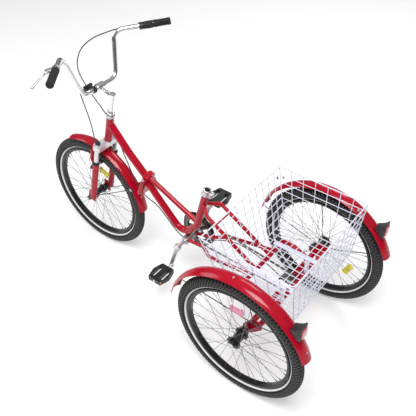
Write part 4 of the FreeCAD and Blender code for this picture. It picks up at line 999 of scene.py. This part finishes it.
def make_tail_reflectors():
    """A wedge bracket on each rear fender, with a lens facing back."""
    brackets = Piece("tail_reflector_brackets")
    lenses = Piece("tail_reflector_lenses")
    for side in (-1, 1):
        y = WHEELS["left"].y * side
        foot = place(0, y, 0)
        brackets.slab(TAIL_OUTLINE, foot, X_AXIS, Z_AXIS, 0.042)
        crown = polar(place(0, y, TYRE_RADIUS), FENDERS["left"][0], 137.0)
        brackets.tube([place(-0.255, y, 0.542), crown], 0.008, 16)
        lens = rounded_outline(*TAIL_LENS, 0.006)
        lenses.slab(lens, place(-0.2835, y, 0.550), Y_AXIS, Z_AXIS, 0.006)
    brackets.finish(FINISH["black_plastic"], "rear_frame", bevel=0.0015,
                    replaces=["tail_reflectors"])
    lenses.finish(FINISH["reflector_red"], "rear_frame", bevel=0.0008)


# ---- cables ----
CABLE_RADIUS = 0.0025
COLLAR_WIDTH = 0.014               # of the shifter's fixed part, next to its sleeve
LEVER_CLAMP = GRIP_LENGTH + 0.014  # along the left grip's line from its end


def smooth_line(points):
    """Points along a NURBS spline through the space of the given points."""
    curve = bpy.data.curves.new("route", "CURVE")
    curve.dimensions = "3D"
    curve.resolution_u = 8
    spline = curve.splines.new("NURBS")
    spline.points.add(len(points) - 1)
    for slot, point in zip(spline.points, points):
        slot.co = (*point, 1)
    spline.order_u = 3
    spline.use_endpoint_u = True
    item = bpy.data.objects.new("route", curve)
    mesh = bpy.data.meshes.new_from_object(item)
    line = [v.co.copy() for v in mesh.vertices]
    bpy.data.objects.remove(item)
    bpy.data.curves.remove(curve)
    bpy.data.meshes.remove(mesh)
    return line


def make_brake_cable():
    """From the brake lever down to the rim brake on the sliding fork legs."""
    lever_stop, stop_ahead = 0.032, 0.017
    end, inward = bar_line(1)
    outward = (inward.cross(Z_AXIS)).normalized()
    ahead = outward if outward.x > 0 else -outward
    ahead = (ahead - Z_AXIS * 0.30).normalized()
    start = end + inward * (LEVER_CLAMP + lever_stop) + ahead * stop_ahead
    route = [start, start + inward * 0.034, place(1.042, 0.118, 1.078), place(1.044, 0.084, 1.022),
             place(1.052, 0.060, 0.960), place(1.058, 0.044, 0.896), place(1.056, 0.034, 0.834),
             place(1.050, 0.026, 0.774), place(1.044, 0.022, 0.716),
             NOODLE_TOP]
    cable = Piece("brake_cable_housing")
    cable.tube(smooth_line(route), CABLE_RADIUS, 10)
    bend = ("steering", "fork_slider", route[5], route[-2])
    cable.finish(FINISH["cable_black"], bend, replaces=["brake_cable"])


SHIFT_ROUTE = (
    # from the shifter to the tensioner, measured from the rear axle line
    (1.012, -0.190, 1.130), (1.064, -0.160, 1.108), (1.120, -0.125, 1.080), (1.162, -0.086, 1.036),
    (1.164, -0.052, 0.988), (1.134, -0.026, 0.950), (1.092, -0.014, 0.916), (1.056, -0.016, 0.870),
    (1.024, -0.024, 0.822), (0.990, -0.030, 0.775), (0.953, -0.031, 0.729), (0.920, -0.018, 0.686),
    (0.884, 0.002, 0.642), (0.846, 0.010, 0.584), (0.826, 0.008, 0.522), (0.796, 0.004, 0.469),
    (0.762, 0.002, 0.430), (0.712, 0.000, 0.420), (0.672, 0.000, 0.392), (0.632, 0.000, 0.350),
    (0.592, -0.002, 0.308), (0.546, -0.006, 0.278), (0.496, -0.016, 0.282), (0.448, -0.028, 0.304),
    (0.402, -0.040, 0.326), (0.356, -0.060, 0.334), (0.312, -0.076, 0.338), (0.262, -0.084, 0.330),
    (0.208, -0.087, 0.318), (0.156, -0.087, 0.302), (0.112, -0.085, 0.284), (0.072, -0.084, 0.268),
)


def make_shift_cable():
    """From the twist shifter, past the head tube and under the frame, to the tensioner."""
    outlet_along, outlet_ahead = 0.0163, 0.015
    end, inward = bar_line(-1)
    ahead = inward.cross(Z_AXIS).normalized()
    start = end + inward * (GRIP_LENGTH + COLLAR_WIDTH / 2 + outlet_along) + ahead * outlet_ahead
    route = [start, start + inward * 0.012]
    route += [place(*p) for p in SHIFT_ROUTE]
    line = smooth_line(route)
    head = nearest(line, route[12])
    before_hinge = nearest(line, route[16])
    after_hinge = nearest(line, route[20])
    steered = ("steering", "front_frame", route[4], route[12])
    folding = ("front_frame", "rear_frame", route[16], route[20])
    spans = [("head", 0, head, steered),
             ("front", head, before_hinge, "front_frame"),
             ("hinge", before_hinge, after_hinge, folding),
             ("rear", after_hinge, len(line) - 1, "rear_frame")]
    for name, first, last, body in spans:
        cable = Piece("shift_cable_" + name)
        cable.tube(line[first:last + 1], CABLE_RADIUS, 10)
        replaced = ["shift_cable"] if name == "head" else []
        cable.finish(FINISH["cable_black"], body, replaces=replaced)


def nearest(line, point):
    """The index of the line's point that lies nearest to the given one."""
    return min(range(len(line)), key=lambda i: (line[i] - point).length)


# ---- frame details ----
AXLE_PLATE_FACE = 0.2651
AXLE_PLATE_BOLTS = ((-0.020, 0.355), (-0.034, 0.355), (-0.048, 0.355), (0.004, 0.322))
SHIM_DEPTH = 0.110
SEAT_TUBE_LEAN = math.radians(15.25)


def make_frame_bolts():
    """Bolts on the outer faces of both axle plates."""
    bolts = Piece("frame_bolts")
    for side in (-1, 1):
        for x, z in AXLE_PLATE_BOLTS:
            bolts.bolt(place(x, side * AXLE_PLATE_FACE, z), Y_AXIS * side, 0.0045, 0.004)
    bolts.finish(FINISH["steel"], "rear_frame")


def make_seat_tube_bush():
    """The bright shim in the seat tube, with its turned lip at the mouth."""
    bush = Piece("seat_tube_bush")
    up = Vector((-math.sin(SEAT_TUBE_LEAN), 0, math.cos(SEAT_TUBE_LEAN)))
    mouth = place(0.398, 0, 0.649)
    outside = [(0.0135, -SHIM_DEPTH), (0.0135, 0.0002), (0.0170, 0.0004), (0.0170, 0.0020)]
    inside = [(0.0160, 0.0028), (0.0128, 0.0020), (0.0128, -SHIM_DEPTH)]
    bush.lathe(mouth, up, outside + inside, 40)
    bush.finish(FINISH["alloy"], "rear_frame")


# ---- stage ----
CAMERA_PLACE = (-1.43788, 1.6026, 2.3339)
CAMERA_AHEAD = (0.453, -0.607, -0.653)
CAMERA_ROLL = -0.18
CAMERA_LENS = 54.89
CAMERA_SHIFT = (-0.0433, -0.0043)


def make_camera():
    """The camera of the photo, as solved from the three wheels."""
    data = bpy.data.cameras.new("camera")
    data.lens = CAMERA_LENS
    data.sensor_width = 36.0
    data.shift_x, data.shift_y = CAMERA_SHIFT
    camera = add_object("camera", data)
    camera.location = CAMERA_PLACE
    turn = Vector(CAMERA_AHEAD).to_track_quat("-Z", "Y")
    roll = Quaternion((0, 0, 1), math.radians(CAMERA_ROLL))
    camera.rotation_mode = "QUATERNION"
    camera.rotation_quaternion = turn @ roll
    bpy.context.scene.camera = camera


LIGHTS = (
    # name, place, size, power
    ("key", (-1.2, 1.6, 4.6), 2.2, 175.0),
    ("fill", (3.6, 1.4, 2.6), 2.0, 45.0),
    ("back", (0.3, -3.6, 3.4), 2.0, 55.0),
)
LIGHT_TARGET = Vector((0, 0, 0.4))


def make_light(name, at, size, power):
    """A square lamp that faces the middle of the object."""
    data = bpy.data.lights.new(name, "AREA")
    data.size = size
    data.energy = power
    lamp = add_object(name, data)
    lamp.location = at
    lamp.rotation_mode = "QUATERNION"
    lamp.rotation_quaternion = (LIGHT_TARGET - Vector(at)).to_track_quat("-Z", "Y")


WORLD_TONES = ((0.0, 0.30), (0.50, 0.12), (0.60, 0.14), (0.75, 0.35), (1.0, 0.50))
FLOOR_REACH = 14.0
FLOOR_GLOW = 0.24


def make_world():
    """A studio that is bright overhead and dim towards the horizon."""
    world = bpy.data.worlds.new("studio")
    world.use_nodes = True
    tree = world.node_tree
    coords = tree.nodes.new("ShaderNodeTexCoord")
    split = tree.nodes.new("ShaderNodeSeparateXYZ")
    height = tree.nodes.new("ShaderNodeMapRange")
    set_inputs(height, From_Min=-1.0)
    tones = tree.nodes.new("ShaderNodeValToRGB")
    ramp = tones.color_ramp
    while len(ramp.elements) < len(WORLD_TONES):
        ramp.elements.new(0.5)
    for element, (position, tone) in zip(ramp.elements, WORLD_TONES):
        element.position = position
        element.color = (tone, tone, tone * 1.02, 1)
    tree.links.new(coords.outputs["Generated"], split.inputs["Vector"])
    tree.links.new(split.outputs["Z"], height.inputs["Value"])
    tree.links.new(height.outputs["Result"], tones.inputs["Fac"])
    tree.links.new(tones.outputs["Color"], tree.nodes["Background"].inputs["Color"])
    bpy.context.scene.world = world


def make_floor():
    """A plain sheet of white paper, bright enough to show no horizon."""
    paper = surface("studio_floor", (0.8, 0.8, 0.8), 0.8, vary=0.01, grain=60.0, bump=0.01)
    shader = paper.node_tree.nodes["Principled BSDF"]
    set_inputs(shader, Emission_Color=(1, 1, 1, 1), Emission_Strength=FLOOR_GLOW)
    reach = FLOOR_REACH
    mesh = bpy.data.meshes.new("floor")
    corners = [(-reach, -reach, 0), (reach, -reach, 0), (reach, reach, 0), (-reach, reach, 0)]
    mesh.from_pydata(corners, [], [(0, 1, 2, 3)])
    mesh.materials.append(paper)
    add_object("floor", mesh)


def make_stage():
    make_world()
    make_floor()
    for light in LIGHTS:
        make_light(*light)
    bpy.context.scene.view_settings.view_transform = "Standard"


def main():
    paint_cad_nodes()
    make_camera()
    make_stage()
    make_wheels()
    make_basket()
    make_chain()
    make_chainring()
    make_sprocket()
    make_crank_caps()
    for side in ("left", "right"):
        make_pedal_studs("pedal_" + side, side + "_pedal")
        make_pedal_reflectors("pedal_" + side, side + "_pedal")
    make_grips()
    make_twist_sleeve()
    make_front_lens()
    make_fork_seals()
    make_crown_caps()
    make_brake_details()
    make_axle_nuts()
    for name in FENDERS:
        make_fender_edges(name)
    make_fender_bolts()
    make_fender_clips()
    make_tail_reflectors()
    make_brake_cable()
    make_shift_cable()
    make_frame_bolts()
    make_seat_tube_bush()


main()
